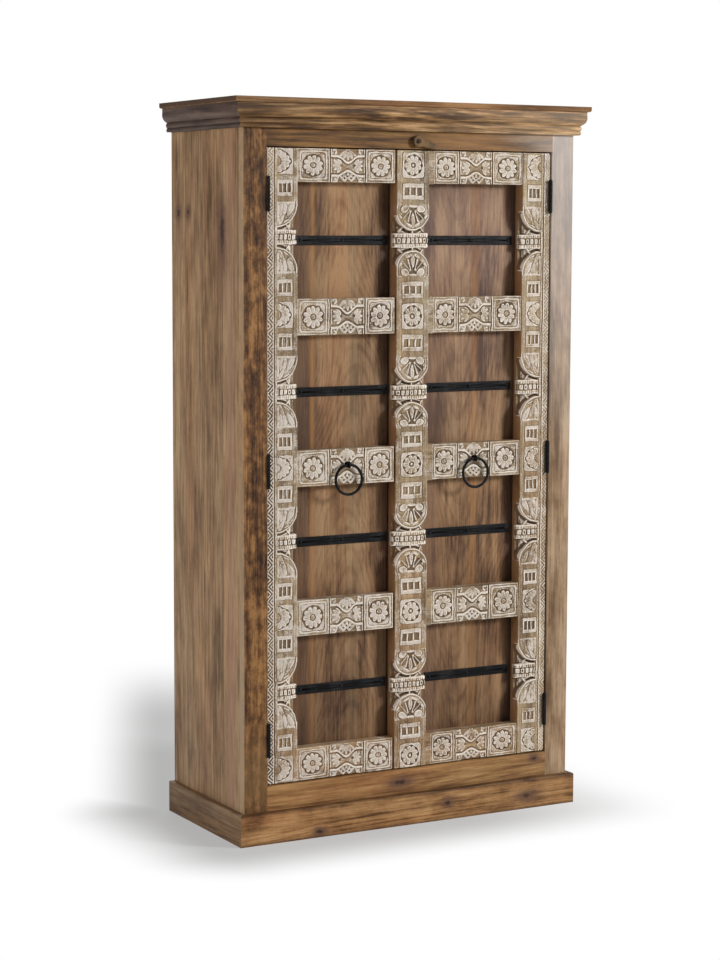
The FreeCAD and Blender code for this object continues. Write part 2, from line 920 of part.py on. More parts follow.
def eye_shank(side, grow):
    start = point(side * scroll_tile_middle, rail_front - eye_plate_thickness, ring_level)
    return rod(eye_shank_radius + grow, start, NORTH, eye_shank_length + grow)


def ring_staple(side):
    """An eye on a small plate, with its shank in the rail."""
    x = side * scroll_tile_middle
    eye = Part.makeTorus(eye_radius, eye_wire_radius, point(x, eye_y, ring_level), EAST)
    plate = rod(eye_plate_radius, point(x, rail_front, ring_level), -NORTH, eye_plate_thickness)
    return joined([plate, eye_shank(side, 0), eye])


def ring(side):
    """A ring hanging by its top from the eye."""
    hang = ring_outer_radius - ring_wire_radius
    centre = point(side * scroll_tile_middle, eye_y, ring_level - hang)
    return Part.makeTorus(hang, ring_wire_radius, centre, NORTH)


# Turn latch

def latch_outline(y):
    """A round head that tapers into an arm, pointing to the right before it is turned."""
    centre = point(latch_across, y, latch_level)

    def at(along, across):
        return centre + EAST * along + UP * across

    lean = math.asin((latch_neck_half_width - latch_tip_radius)
                     / (latch_tip_distance - latch_neck_distance))
    tip_top = at(latch_tip_distance + latch_tip_radius * math.sin(lean),
                 latch_tip_radius * math.cos(lean))
    tip_low = at(latch_tip_distance + latch_tip_radius * math.sin(lean),
                 -latch_tip_radius * math.cos(lean))
    tip_end = at(latch_tip_distance + latch_tip_radius, 0)
    head_along = math.sqrt(latch_head_radius ** 2 - latch_neck_half_width ** 2)
    head_top = at(head_along, latch_neck_half_width)
    head_low = at(head_along, -latch_neck_half_width)
    head_back = at(-latch_head_radius, 0)
    return [arc(tip_top, tip_end, tip_low), line(tip_low, head_low),
            arc(head_low, head_back, head_top), line(head_top, tip_top)]


def latch():
    body = prism(latch_outline(latch_front), NORTH * latch_thickness)
    rim = [edge for edge in body.Edges
           if abs(edge.BoundBox.YMax - latch_front) < latch_edge_chamfer]
    body = body.makeChamfer(latch_edge_chamfer, rim)
    hole_start = point(latch_across, latch_front - overrun, latch_level)
    hole = rod(latch_screw_radius + latch_hole_clearance, hole_start, NORTH,
               latch_thickness + 2 * overrun)
    body = body.cut(hole)
    body.rotate(point(latch_across, 0, latch_level), NORTH, latch_rest_dip)
    return body


def latch_washer():
    start = point(latch_across, body_front, latch_level)
    ring_shape = rod(latch_washer_radius, start, -NORTH, latch_washer_thickness)
    bore = rod(latch_screw_radius + screw_clearance, start + NORTH * overrun, -NORTH,
               latch_washer_thickness + 2 * overrun)
    return ring_shape.cut(bore)


def latch_screw_shape(grow):
    start_y = latch_front - latch_running_gap
    reach = body_front - start_y + latch_screw_length
    return rod(latch_screw_radius + grow, point(latch_across, start_y, latch_level),
               NORTH, reach + grow)


def latch_screw():
    start = point(latch_across, latch_front - latch_running_gap, latch_level)
    head = rod(latch_screw_head_radius, start, -NORTH, latch_screw_head_height)
    slot = box((latch_across - latch_screw_head_radius, latch_across + latch_screw_head_radius),
               (start.y - latch_screw_head_height, start.y - latch_screw_head_height / 2),
               (latch_level - screw_slot_width, latch_level + screw_slot_width))
    return joined([head, latch_screw_shape(0)]).cut(slot)


# The whole cabinet

def write_carcass():
    for side in (-1, 1):
        save(side_name(side) + "_side_panel", [side_panel(side)])
        save("frame_" + side_name(side) + "_stile", [frame_stile(side)])
    save("back_boards", [back_board(k) for k in range(back_board_count)])
    save("floor_board", [inside_board((frame_back, inner_back), (floor_bottom, opening_bottom))])
    save("ceiling_board", [inside_board((frame_back, inner_back), (ceiling_bottom, slab_bottom))])
    for name, bottom in zip(shelf_names, shelf_bottoms()):
        save(name + "_shelf", [inside_board((shelf_front, inner_back),
                                            (bottom, bottom + shelf_thickness))])
    save("shelf_cleats", shelf_cleats(-1) + shelf_cleats(1))
    save("cleat_screws", cleat_screws(-1) + cleat_screws(1))
    save("base_back_rail", [inside_board((inner_back - back_rail_thickness, inner_back),
                                         (0, floor_bottom))])
    save("base_glue_blocks", glue_blocks())
    for name in frame_rail_spans:
        save(name, [frame_rail(name)])
    save("door_stop", [door_stop()])
    for run, shape in mitred_runs(plinth_section, plinth_overhang).items():
        save("plinth_" + run + "_board", [shape])
    for run, shape in mitred_runs(cornice_section, ovolo_projection).items():
        save("cornice_" + run + "_moulding", [shape])
    save("cornice_top_board", [cornice_slab()])


def write_hinges():
    both = [(side, height) for side in (-1, 1) for height in hinge_levels]
    save("hinge_frame_leaves", [hinge_leaf(side, height, True) for side, height in both])
    save("hinge_pins", [hinge_pin(side, height) for side, height in both])
    save("hinge_frame_screws", hinge_screws(-1, True) + hinge_screws(1, True))


def write_door(side):
    name = side_name(side)
    save(name + "_door_panel", [door_panel(side)])
    save(name + "_door_stile", [door_stile(side)])
    for step in range(rail_levels):
        save(name + "_door_rail_" + str(step + 1), [door_rail(side, step)])
    save(name + "_door_straps", straps(side))
    save(name + "_strap_nails", strap_nails(side))
    save(name + "_hinge_leaves", [hinge_leaf(side, height, False) for height in hinge_levels])
    save(name + "_hinge_screws", hinge_screws(side, False))
    save(name + "_ring_staple", [ring_staple(side)])
    save(name + "_ring", [ring(side)])
    if side > 0:
        save("centre_stile", [centre_stile()])
        save("centre_end_blocks", [end_block(step) for step in range(rail_levels)])


def write_latch():
    save("turn_latch", [latch()])
    save("latch_washer", [latch_washer()])
    save("latch_screw", [latch_screw()])


os.makedirs("parts", exist_ok=True)
write_carcass()
write_hinges()
write_door(-1)
write_door(1)
write_latch()
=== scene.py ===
import math

import bpy
import numpy as np
from mathutils import Matrix, Vector


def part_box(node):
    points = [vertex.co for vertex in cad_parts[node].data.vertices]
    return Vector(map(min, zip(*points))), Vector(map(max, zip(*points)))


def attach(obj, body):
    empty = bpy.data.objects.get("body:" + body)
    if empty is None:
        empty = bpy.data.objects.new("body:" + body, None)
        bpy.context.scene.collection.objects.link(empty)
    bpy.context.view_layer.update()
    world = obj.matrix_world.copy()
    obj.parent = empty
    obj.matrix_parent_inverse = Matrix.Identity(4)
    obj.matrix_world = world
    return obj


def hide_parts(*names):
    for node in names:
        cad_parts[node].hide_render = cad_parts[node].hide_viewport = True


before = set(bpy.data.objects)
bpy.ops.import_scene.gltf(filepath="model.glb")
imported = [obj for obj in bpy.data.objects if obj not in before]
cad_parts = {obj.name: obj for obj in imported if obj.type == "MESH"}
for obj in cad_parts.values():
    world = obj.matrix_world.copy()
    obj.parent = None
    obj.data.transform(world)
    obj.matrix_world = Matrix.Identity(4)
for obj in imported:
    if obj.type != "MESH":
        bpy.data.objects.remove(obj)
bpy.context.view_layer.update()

# The dressed model of a tall two-door cabinet: carved, limed doors, iron straps and rings,
# and procedural woods and irons on every other piece. Lengths of the carving are in mm.

MM = 0.001


def span(node, axis):
    """A node's lowest and highest place along an axis, in mm."""
    return [round(corner[axis] / MM, 1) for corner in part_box(node)]


# Doors, in mm. A collar swells a stile's edge by its bulge.
COLLAR_BULGE = 2.5
PANEL_RABBET = 12.0
inner_edge, DOOR_HALF = span("right_door_stile", 0)
STILE_EDGE = inner_edge + COLLAR_BULGE
DOOR_FRONT, DOOR_BACK = span("right_door_stile", 1)
DOOR_ENDS = span("right_door_stile", 2)
STEP_FRONT = DOOR_FRONT + 24.4
CENTRE_HALF, RIGHT_RAIL_END = span("centre_end_blocks", 0)
LEFT_RAIL_END = -span("left_door_rail_1", 0)[1]
RAIL_FRONT, PANEL_FRONT = span("left_door_rail_1", 1)
HINGE_LEVELS = (253.0, 911.0, 1574.0)
HINGE_NOTCH = 7.0
HINGE_REACH = 44.0

# Rails: a flower, a vine and a flower tile, with the ring's plate on the middle rail
RAIL_HALF = 44.0
RAIL_MIDDLE = 913.0
LEVEL_PITCH = 367.0
RAIL_LEVELS = tuple(RAIL_MIDDLE + LEVEL_PITCH * step for step in (-2, -1, 0, 1, 2))
VINE_MIDDLE = 182.0
VINE_HALF = 45.5
TILE_SEAM = 5.0
SEAM_GROOVE = 1.6
RING_RAIL = 2
PLATE_LEVEL = 918.0
PLATE_RADIUS = 9.0

# How far each stile's carving is off the rails' levels, from its foot up
DRIFT_LEVELS = (179.0, 362.0, 546.0, 729.0, 913.0, 1096.0, 1280.0, 1463.0, 1647.0)
LEFT_DRIFT = (-2.0, 3.0, 6.0, 6.0, 4.0, 4.0, 6.0, 8.5, 4.0)
CENTRE_DRIFT = (-6.0, -9.0, -5.5, -6.0, -3.0, -8.0, -2.5, 0.0, 0.0)
RIGHT_DRIFT = (-3.0, -5.0, -6.0, -11.0, -4.0, -5.0, -1.5, -3.5, 0.0)

# Whitewash gone from each piece; the rails, left and right, count up from the foot
LEFT_WORN = 0.0
CENTRE_WORN = 0.2
RIGHT_WORN = 0.27
RAIL_WORN = ((0.0, 0.26), (-0.05, 0.2), (0.05, 0.2), (0.0, 0.22), (-0.05, 0.16))

# Motifs of the stiles, by their distance from a rosette's centre
SIDE_MOTIF = 43.0
MOTIF_INSET = 27.0
ROSETTE_HALF = 31.0
TABLET_OFFSET = 64.0
TABLET_HALF = 20.0
FAN_START = 97.5
FAN_TIP = 159.5
ARC_SHOULDER = 7.0
NECK_MIDDLE = 183.5
NECK_FLOOR = 23.4
COLLAR_HALF = 18.0
BEAD_PITCH = 12.0
FLUTE_PITCH = 6.5

# Parts of the motifs
TILE_PETALS = 10
TILE_RIM = 27.4
TILE_HEART = 8.0
TILE_BOSS = 6.2
ROSETTE_PETALS = 9
ROSETTE_RIM = 25.6
ROSETTE_HEART = 7.0
ROSETTE_BOSS = 3.6
HALF_FLOWER_RIM = 28.6
HALF_FLOWER_HEART = 12.5
HALF_FLOWER_BOSS = 10.6
HALF_FLOWER_SQUASH = 0.76
HALF_FLOWER_ANGLES = [k * math.pi / 7 for k in (-3, -2, -1, 0, 1, 2, 3)]
VINE_BAND = 3.2
VINE_GROOVE = 5.4
VINE_TOOTH = 11.4
WEDGE_START = 4.0
WEDGE_ANGLE = 0.76
WEDGE_SPREAD = 0.27
RAY_HALF = 1.1
REED_PITCH = 6.0
STRUT_SLOPE = 0.83
WAIST_INSET = 10.0

# The zigzag strip on a side stile's outer edge
STRIP_WIDTH = 18.0
CHEVRON_PITCH = 36.0
CHEVRON_SPACING = 9.0
FADE_START = 900
FADE_LENGTH = 2200

# The hand's wobble, and the whitewash on a face without a motif
WOBBLE = 1.0
WOBBLE_CELL = 13.0
PLAIN_WASH = 0.3

# Spacing of the carved grids, and the wear of their edges
CENTRE_PITCH = 1.2
SIDE_PITCH = 1.15
RAIL_PITCH = 1.0
BACK_WASH = 0.1
EDGE_WASH = 0.5
WORN_SHARE = 0.2
WORN_DEPTH = 5.0
EDGE_WEAR = 1.1
EDGE_WEAR_REACH = 2.2
SHARP_ANGLE = math.radians(48)


# Shapes as arrays over a grid of places

NOISE_SIZE = 211


def eased(share):
    """A share from 0 to 1 that leaves both ends gently."""
    return share * share * (3 - 2 * share)


def soft(distance, width=1.4):
    """1 well inside a shape and 0 well outside, from its signed distance."""
    return eased(np.clip(0.5 - distance / width, 0, 1))


def band(offset, half, width=1.4):
    """1 on a band, from the offset from its middle line."""
    return soft(np.abs(offset) - half, width)


def disc(x, z, radius):
    """1 on a round spot."""
    return soft(np.hypot(x, z) - radius)


def box_distance(x, z, half_x, half_z, corner=0.0):
    """Signed distance from a rectangle with rounded corners."""
    across = np.abs(x) - half_x + corner
    up = np.abs(z) - half_z + corner
    outside = np.hypot(np.maximum(across, 0), np.maximum(up, 0))
    return outside + np.minimum(np.maximum(across, up), 0) - corner


def oval(x, z, half_x, half_z):
    """Roughly the signed distance from an ellipse."""
    return (np.hypot(x / half_x, z / half_z) - 1) * min(half_x, half_z)


def grain(x, z, cell, seed):
    """Smooth noise from -1 to 1, with features about one cell wide."""
    table = np.random.default_rng(seed).uniform(-1, 1, (NOISE_SIZE, NOISE_SIZE))
    u, v = x / cell, z / cell
    i, j = np.floor(u).astype(int), np.floor(v).astype(int)
    a, b = eased(u - i), eased(v - j)

    def at(di, dj):
        return table[(i + di) % NOISE_SIZE, (j + dj) % NOISE_SIZE]

    low = at(0, 0) * (1 - a) + at(1, 0) * a
    high = at(0, 1) * (1 - a) + at(1, 1) * a
    return low * (1 - b) + high * b


def hand_led(x, z, seed):
    """Places as a chisel led by hand finds them, a little off the drawing."""
    off_x = WOBBLE * grain(x, z, WOBBLE_CELL, seed)
    off_z = WOBBLE * grain(x, z, WOBBLE_CELL, seed + 1)
    return x + off_x, z + off_z


def petals(x, z, angles, start, end, width, belly=0.75):
    """Petals from start to end along each angle: 1 on the nearest one's midrib, 0 on its edge
    and below 0 outside. A larger belly swells nearer their tips."""
    best = np.full_like(x, -1.0)
    for angle in angles:
        along = (x * math.cos(angle) + z * math.sin(angle) - start) / (end - start)
        across = np.abs(z * math.cos(angle) - x * math.sin(angle))
        swell = np.sin(np.pi * np.clip(along, 0, 1) ** belly)
        room = width * np.sqrt(np.clip(swell, 1e-4, 1))
        inside = np.where((along > 0) & (along < 1), 1 - across / room, -1)
        best = np.maximum(best, inside)
    return best


def ring_angles(count, turn=0.0):
    return [turn + 2 * math.pi * k / count for k in range(count)]


class Carving:
    """Depth below a face, in mm, and its wash: 1 is white, 0 is bare, and less is dirt and
    painted shade, as in grooves and pits.
    """

    def __init__(self, x):
        self.depth = np.zeros_like(x)
        self.wash = np.full_like(x, PLAIN_WASH)

    def lay(self, mask, depth, wash):
        """Bring the places of a mask to a depth and a wash."""
        self.depth = self.depth + mask * (depth - self.depth)
        self.wash = self.wash + mask * (wash - self.wash)

    def petal_ring(self, mask, inside, ground, crest, wash):
        """Domed petals with a thin vein, from a ground up to a crest."""
        swell = np.sqrt(np.clip(inside * 1.6, 0, 1))
        vein = soft(0.88 - inside, 0.12)
        height = ground + (crest - ground) * swell + 0.7 * vein
        self.lay(mask * (inside > 0), height, wash - 0.4 * vein)


# Motifs: s is how far a place is from the nearest rosette, and down runs from a fan's head

def flower_tile(cut, x, z, half_x, half_z, seed):
    """A framed tile with a flower."""
    edge = box_distance(x, z, half_x, half_z)
    gouges = 0.6 * grain(x, z, 3.2, seed)
    worn = grain(x, z, 14.0, seed + 1)
    cut.lay(soft(edge), 0.1, 0.6 + 0.3 * worn)
    cut.lay(soft(edge + 2.6), 1.4 + 0.5 * gouges, 0.1 + 0.4 * worn)
    ring = box_distance(x, z, half_x - 6.0, half_z - 6.0, 4.0)
    cut.lay(soft(ring), 0.5, 1.0 + 0.3 * worn)
    field = box_distance(x, z, half_x - 10.0, half_z - 9.6, 9.0)
    cut.lay(soft(field), 3.2 + gouges, 0.15 + 0.5 * worn)
    radius = np.hypot(x, z)
    rim = TILE_RIM + np.cos(TILE_PETALS * np.arctan2(z, x) + math.pi)
    corner = soft(TILE_RIM + 3.1 - radius, 4.0) * soft(field + 2.0, 2.0)
    cut.lay(corner, 1.8 + gouges, 0.7 + 0.5 * worn)
    cut.lay(soft(field) * soft(radius - rim - 1.4), 4.6, -0.7)
    turn = 0.3 * math.sin(seed)
    crest = petals(x, z, ring_angles(TILE_PETALS, turn), 3.0, TILE_RIM - 0.2, 6.4, 1.7)
    cut.petal_ring(soft(radius - rim + 0.4), crest, 4.0, 0.4, 1.0)
    cut.lay(soft(radius - TILE_HEART), 3.8, -0.4)
    dome = np.sqrt(np.clip(1 - (radius / (TILE_BOSS + 0.4)) ** 2, 0, 1))
    cut.lay(soft(radius - TILE_BOSS), 2.6 - 2.0 * dome, 0.25)


def vine_sides(cut, x, z, face):
    """Half a daisy and two sprigs each side of a vine."""
    daisy_z = z - 0.5
    for side in (-1, 1):
        daisy_x, sprig_x = side * x - 17.5, side * x - 24.0
        daisy = petals(daisy_x, daisy_z, [-1.05, -0.52, 0.0, 0.52, 1.05], 3.5, 25.0, 5.0)
        cut.petal_ring(face, daisy, 3.4, 0.4, 0.95)
        cut.lay(disc(daisy_x, daisy_z, 3.8), 4.2, -0.3)
        sprig = petals(sprig_x, z - 44.0, [-1.45, -0.85, -0.2], 3.0, 19.0, 3.6)
        cut.petal_ring(face, sprig, 3.4, 0.5, 0.9)
        sprig = petals(sprig_x, z + 42.0, [1.2, 0.55, -0.05], 2.0, 17.0, 3.4)
        cut.petal_ring(face, sprig, 3.4, 0.6, 0.9)


def vine_tile(cut, x, z, seed):
    """Two wavy bands, with a bud above and a mound below."""
    sway = eased(np.clip(np.abs(x) / 29, 0, 1))
    upper = 7.5 + 18.0 * sway
    lower = -14.0 - 13.0 * sway
    tooth = 1.5 * np.cos(np.abs(x) * 2 * math.pi / VINE_TOOTH)
    gouges = 0.6 * grain(x, z, 3.0, seed)
    cut.lay(soft(box_distance(x, z, VINE_HALF, RAIL_HALF + 8)), 0.5, 0.4)
    face = soft(box_distance(x, z, VINE_HALF - 2.0, RAIL_HALF + tooth))
    cut.lay(face, 3.2 + gouges, 0.3 + 0.3 * gouges)
    vine_sides(cut, x, z, face)
    bud_z, mound_z = z - 42.0, z + 46.0
    bud = petals(x, bud_z, [-2.5, -2.04, -1.57, -1.1, -0.64], 6.0, 29.0, 5.2)
    above = soft(upper + 1.5 - z)
    cut.lay(above * disc(x, bud_z, 30.0), 3.0, -0.1)
    cut.petal_ring(above, bud, 3.2, 0.2, 0.92)
    cut.lay(disc(x, bud_z, 6.0), 1.0, 0.5)
    mound = petals(x, mound_z, [0.7, 1.13, 1.57, 2.0, 2.44], 8.0, 30.0, 4.6)
    below = soft(z - lower + 1.5)
    cut.lay(below * disc(x, mound_z, 29.0), 3.2, -0.1)
    cut.petal_ring(below, mound, 3.4, 0.4, 0.92)
    for dot_x, dot_z in ((0.0, -28.0), (0.0, -38.0), (-9.0, -33.0), (9.0, -33.0)):
        cut.lay(disc(x - dot_x, z - dot_z, 2.2), 4.2, -0.4)
    for middle, shade in ((upper, -VINE_GROOVE), (lower, VINE_GROOVE)):
        cut.lay(band(z - middle - shade, 2.3), 4.2, -0.4)
        cut.lay(band(z - middle, VINE_BAND), 0.1 + 0.05 * (z - middle) ** 2, 1.0)


def rosette(cut, x, z, half, place):
    """A rounded square with a ring of petals."""
    bow = 1.6 * np.cos(np.clip(x / half, -1, 1) * math.pi / 2)
    edge = box_distance(x, z, half, ROSETTE_HALF - 1.2 + bow, 6.5)
    cut.lay(soft(edge - 1.8), 2.2, -0.3)
    cut.lay(soft(edge), 0.3 + 0.4 * grain(x, place, 6.0, 23), 1.0)
    gouges = 0.5 * grain(x, place, 2.6, 11)
    squash = x * ROSETTE_HALF / half
    radius = np.hypot(squash, z)
    rim = ROSETTE_RIM + 0.9 * np.cos(ROSETTE_PETALS * np.arctan2(z, squash))
    cut.lay(soft(radius - rim), 4.4 + gouges, -0.5)
    turn = 0.35 * math.sin(place[0, 0] * 0.011)
    angles = ring_angles(ROSETTE_PETALS, turn)
    crest = petals(squash, z, angles, 4.0, ROSETTE_RIM - 0.8, 6.6, 1.5)
    cut.petal_ring(soft(radius - rim + 0.8), crest, 4.2, 0.5, 1.0)
    cut.lay(soft(radius - ROSETTE_HEART), 4.0, -0.4)
    cut.lay(soft(radius - ROSETTE_BOSS), 1.6, 0.4)


def half_rosette(cut, x, z, half, place):
    """Half a flower, open at its tile's outer edge."""
    edge = box_distance(x - half / 2, z, half / 2, ROSETTE_HALF, 5.0)
    cut.lay(soft(edge - 1.6), 2.0, -0.2)
    gouges = 0.5 * grain(x, place, 2.6, 12)
    cut.lay(soft(edge), 0.4 + gouges, 1.0)
    squash = x * HALF_FLOWER_SQUASH
    radius = np.hypot(squash, z)
    rim = HALF_FLOWER_RIM + 0.9 * np.cos(ROSETTE_PETALS * np.arctan2(z, squash))
    inside = soft(edge + 1.6)
    worn = np.clip(0.5 + 0.6 * grain(x, place, 16.0, 14), 0, 1)
    cut.lay(inside * soft(radius - rim), 4.0, -0.5 + 0.5 * worn)
    crest = petals(squash, z, HALF_FLOWER_ANGLES, 8.0, HALF_FLOWER_RIM - 0.8, 6.6, 1.5)
    cut.petal_ring(inside * soft(radius - rim + 0.6), crest, 3.8, 0.3, 1.0)
    cut.lay(disc(x + 2.0, z, HALF_FLOWER_HEART) * soft(edge - 1.6), 2.6, -0.2)
    cut.lay(disc(x + 2.0, z, HALF_FLOWER_BOSS), 1.0, 0.2)


def tablet(cut, x, z, half, well_x, well_z, bar, place):
    """A light frame round three sunk squares."""
    mood = grain(x * 0, place, 150.0, 41)
    edge = box_distance(x, z, half, TABLET_HALF, 2.0)
    cut.lay(soft(edge - 1.6), 2.0, -0.25)
    cut.lay(soft(edge), 0.2 + 0.3 * grain(x, place, 5.0, 42), 0.95 + 0.2 * mood)
    well = soft(box_distance(x, z, well_x, well_z, 1.0))
    cut.lay(well, 3.6 + 0.5 * grain(x, place, 3.0, 43), -0.1 - 0.4 * mood)
    for side in (-1, 1):
        cut.lay(well * band(x - side * well_x * 0.37, bar), 0.7, 0.9 + 0.2 * mood)


def fan_ground(cut, s, rim, x, place):
    """The plate of a fan; gives its face as a mask, and its wear."""
    face = soft(rim, 2.2) * soft(FAN_START - s)
    gouges = 0.5 * grain(x, place, 3.0, 13)
    worn = grain(x, place, 17.0, 15)
    cut.lay(face, 0.8 + gouges, 0.6 + 0.3 * worn)
    cut.lay(face * soft(rim + 4.4), 1.9 + gouges, 0.42 + 0.3 * worn)
    return face, worn


def fan_rim(cut, face, s, rim):
    """A thin arc round a fan and the line over its head."""
    cut.lay(face * band(rim + 4.6, 0.9), 2.8, -0.1)
    cut.lay(face * band(rim + 2.0, 1.5), 0.1, 1.0)
    cut.lay(soft(FAN_START - s) * band(s - FAN_START + 1.2, 0.8), 2.0, -0.3)


def fan_wedges(cut, face, worn, x, down):
    """A sunk wedge with a ray each side of a teardrop, paler on the left from more whitewash and
    painted light.
    """
    side = np.abs(x)
    radius = np.hypot(side, down - WEDGE_START)
    away = np.abs(np.arctan2(side, down - WEDGE_START) - WEDGE_ANGLE)
    wedge = face * soft(away - WEDGE_SPREAD, 0.12) * band(radius - 28.0, 12.0)
    # The left wedges are sunk less and carry more whitewash and painted light
    washed_and_lit_side = (x < 0) * (0.7 + 0.3 * worn)
    cut.lay(wedge, 4.2 - 1.4 * washed_and_lit_side, 0.75 * washed_and_lit_side - 0.6)
    cut.lay(wedge * soft(radius * away - RAY_HALF), 0.4, 1.0)


def centre_fan(cut, face, worn, x, down, rim):
    """Ridges, wedges, a teardrop and leaves under a lobed head."""
    side = np.abs(x)
    inner_face = face * soft(rim + 3.4)
    leaf = petals(side, down - 6.0, [0.62], 8.0, 44.0, 9.0)
    cut.lay(inner_face * soft(-0.12 - leaf, 0.12), 3.8, -0.45)
    cut.petal_ring(inner_face, leaf, 3.2, 0.9, 0.5 + 0.3 * worn)
    reeds = np.cos(side * 2 * math.pi / REED_PITCH)
    outer = band(side - 30.0, 9.0) * band(down - 24.0, 9.0, 3.0)
    cut.lay(inner_face * outer, 1.6 + 0.9 * reeds, 0.5 + 0.25 * reeds)
    fan_wedges(cut, inner_face, worn, x, down)
    between = side - np.clip((down - 12.0) * 0.30 + 5.0, 0, 15.0)
    cut.lay(inner_face * soft(between) * band(down - 30.0, 18.0), 3.9, -0.4)
    cut.lay(inner_face * band(between, 1.5) * band(down - 27.0, 14.0), 0.2, 1.0)
    drop = petals(side, 50.0 - down, [math.pi / 2], 0.0, 31.0, 6.4)
    cut.petal_ring(face, drop, 3.6, 0.3, 0.9)
    for leaf_x, leaf_down, angle, length in ((3.0, 52.0, 0.46, 19.0), (32.0, 32.0, 0.83, 15.0)):
        leaf = petals(side - leaf_x, leaf_down - down, [angle], 0.0, length, 3.4)
        cut.petal_ring(face, leaf, 2.4, 0.2, 1.0)
    lobe = oval(side - 22.5 - 0.25 * (down - 8.0), down - 8.5, 11.5, 9.5)
    cut.lay(face * soft(lobe - 1.8), 3.0, -0.2)
    cut.lay(face * soft(lobe), 0.3 + 0.03 * lobe * lobe, 0.9 + 0.35 * worn)
    cut.lay(face * soft(oval(side, down - 7.0, 9.5, 6.6)), 4.0, -0.5)
    cut.lay(face * soft(oval(side, down - 2.6, 12.5, 3.4)), 0.2, 1.05)


def side_fan(cut, face, worn, x, down, rim, place):
    """A band at a fan's head and outer edge, and leaves under it."""
    inner_face = face * soft(rim + 3.4)
    turn = 0.16 * np.sin(np.round(place / LEVEL_PITCH * 2) * 2.3)[0, 0]
    leaves = ((18.0, 3.0, 1.62 + turn, 36.0, 12.5), (44.0, 5.0, 1.95 + turn, 34.0, 8.0),
              (4.0, 56.0, -1.15 + turn, 30.0, 6.0), (19.0, 52.0, -0.45, 22.0, 4.5))
    for start_x, start_down, angle, length, width in leaves:
        leaf = petals(x - start_x, down - start_down, [angle], 0.0, length, width, 0.65)
        cut.lay(inner_face * soft(-0.2 - leaf, 0.16), 3.2, -0.25)
        cut.petal_ring(inner_face, leaf, 2.9, 0.5, 0.85 + 0.3 * worn)
    cut.lay(face * soft(x - 5.0) * soft(down - 50.0, 4.0), 0.2, 1.0)
    cut.lay(face * soft(down - 4.6) * soft(x - 52.0), 0.2, 1.0)


def waist(cut, x, s, half, rim, outside):
    """The sunk waist under a fan, with slits, struts and a middle rib."""
    waist_half = half - WAIST_INSET
    floor = 7.5 + 12.0 * np.clip(np.abs(x) / waist_half, 0, 1.2) ** 2
    floor = np.where(np.abs(x) > waist_half, NECK_FLOOR, floor)
    cut.lay(outside, floor, 0.0)
    slit = band(rim - 3.4, 2.4) * band(np.abs(x) - 13.0, 10.0)
    cut.lay(outside * slit, floor + 3.0, -0.6)
    cut.lay(outside * soft(6.5 - rim) * soft(np.abs(x) - waist_half + 3.0), floor - 2.6, 0.85)
    cut.lay(outside * band(x, 2.0), floor - 3.0, 0.95)
    lean = np.abs(x) - 27.5 - STRUT_SLOPE * (s - FAN_TIP + 6.0)
    strut = band(lean / math.hypot(1, STRUT_SLOPE), 1.9)
    cut.lay(outside * strut * band(x, waist_half), floor * 0.6, 0.95)


def collar(cut, x, s, half):
    """The fluted collar round a waist, with its row of beads."""
    rise = s - (NECK_MIDDLE - COLLAR_HALF)
    face = 2.0 + 10.0 * (np.abs(x) / (half + COLLAR_BULGE)) ** 2
    bow = 1.4 * np.clip(np.abs(rise - 5.0) / 5.0, 0, 1.3) ** 2
    mask = soft(-rise)
    flutes = 0.5 * np.cos(x * 2 * math.pi / FLUTE_PITCH + 2.0 * grain(x, s, 9.0, 26))
    wear = 0.62 + 0.5 * grain(x, s, 6.0, 22)
    cut.lay(mask, face + bow + 0.4 * grain(x, s, 4.0, 21) + flutes, wear - 0.4 * flutes)
    cut.lay(mask * soft(10.4 - rise), face + 3.4, -0.4)
    number = x / BEAD_PITCH
    step = np.abs(number - np.round(number)) * BEAD_PITCH
    drop = np.abs(NECK_MIDDLE - s)
    bead = soft(box_distance(step, drop, 4.7, 6.6, 2.6))
    cut.lay(mask * bead, face + 0.03 * step ** 2 + 0.02 * drop ** 2, wear + 0.35)
    drilled = np.sin(np.round(number) * 2.1 + 0.9) > 0.45
    hole = soft(box_distance(step, drop, 1.4, 3.4, 1.0))
    cut.lay(mask * drilled * hole, face + 2.6, -0.3)


def arc_of(half):
    """Centre, as a distance from the rosette, and radius of a fan's lower edge."""
    rise = FAN_TIP - FAN_START
    radius = (half * half + rise * rise) / (2 * rise)
    return FAN_TIP - radius, radius


def rosette_distance(z, drift):
    """Height over a stile's nearest rosette, which its drift has moved."""
    height = z - np.interp(z, DRIFT_LEVELS, drift)
    number = np.round((height - RAIL_LEVELS[0]) / LEVEL_PITCH)
    number = np.clip(number, 0, len(RAIL_LEVELS) - 1)
    return height - RAIL_LEVELS[0] - number * LEVEL_PITCH


def necks_and_fans(cut, x, z, s, half, whole):
    """A fan and a neck each side of every rosette, none past the last ones."""
    plain_depth, plain_wash = cut.depth, cut.wash
    centre, radius = arc_of(half)
    rim = np.hypot(x, s - centre) - radius
    rim = np.where(s < centre, np.minimum(rim, np.abs(x) - half), rim)
    face, worn = fan_ground(cut, s, rim, x, z)
    down = s - FAN_START
    if whole:
        centre_fan(cut, face, worn, x, down, rim)
    else:
        side_fan(cut, face, worn, x, down, rim, z)
    fan_rim(cut, face, s, rim)
    waist(cut, x, s, half, rim, soft(-rim, 2.2) * (s > centre + ARC_SHOULDER))
    collar(cut, x, s, half)
    ends = (z < RAIL_LEVELS[0]) | (z > RAIL_LEVELS[-1])
    cut.depth = np.where(ends, plain_depth, cut.depth)
    cut.wash = np.where(ends, plain_wash, cut.wash)


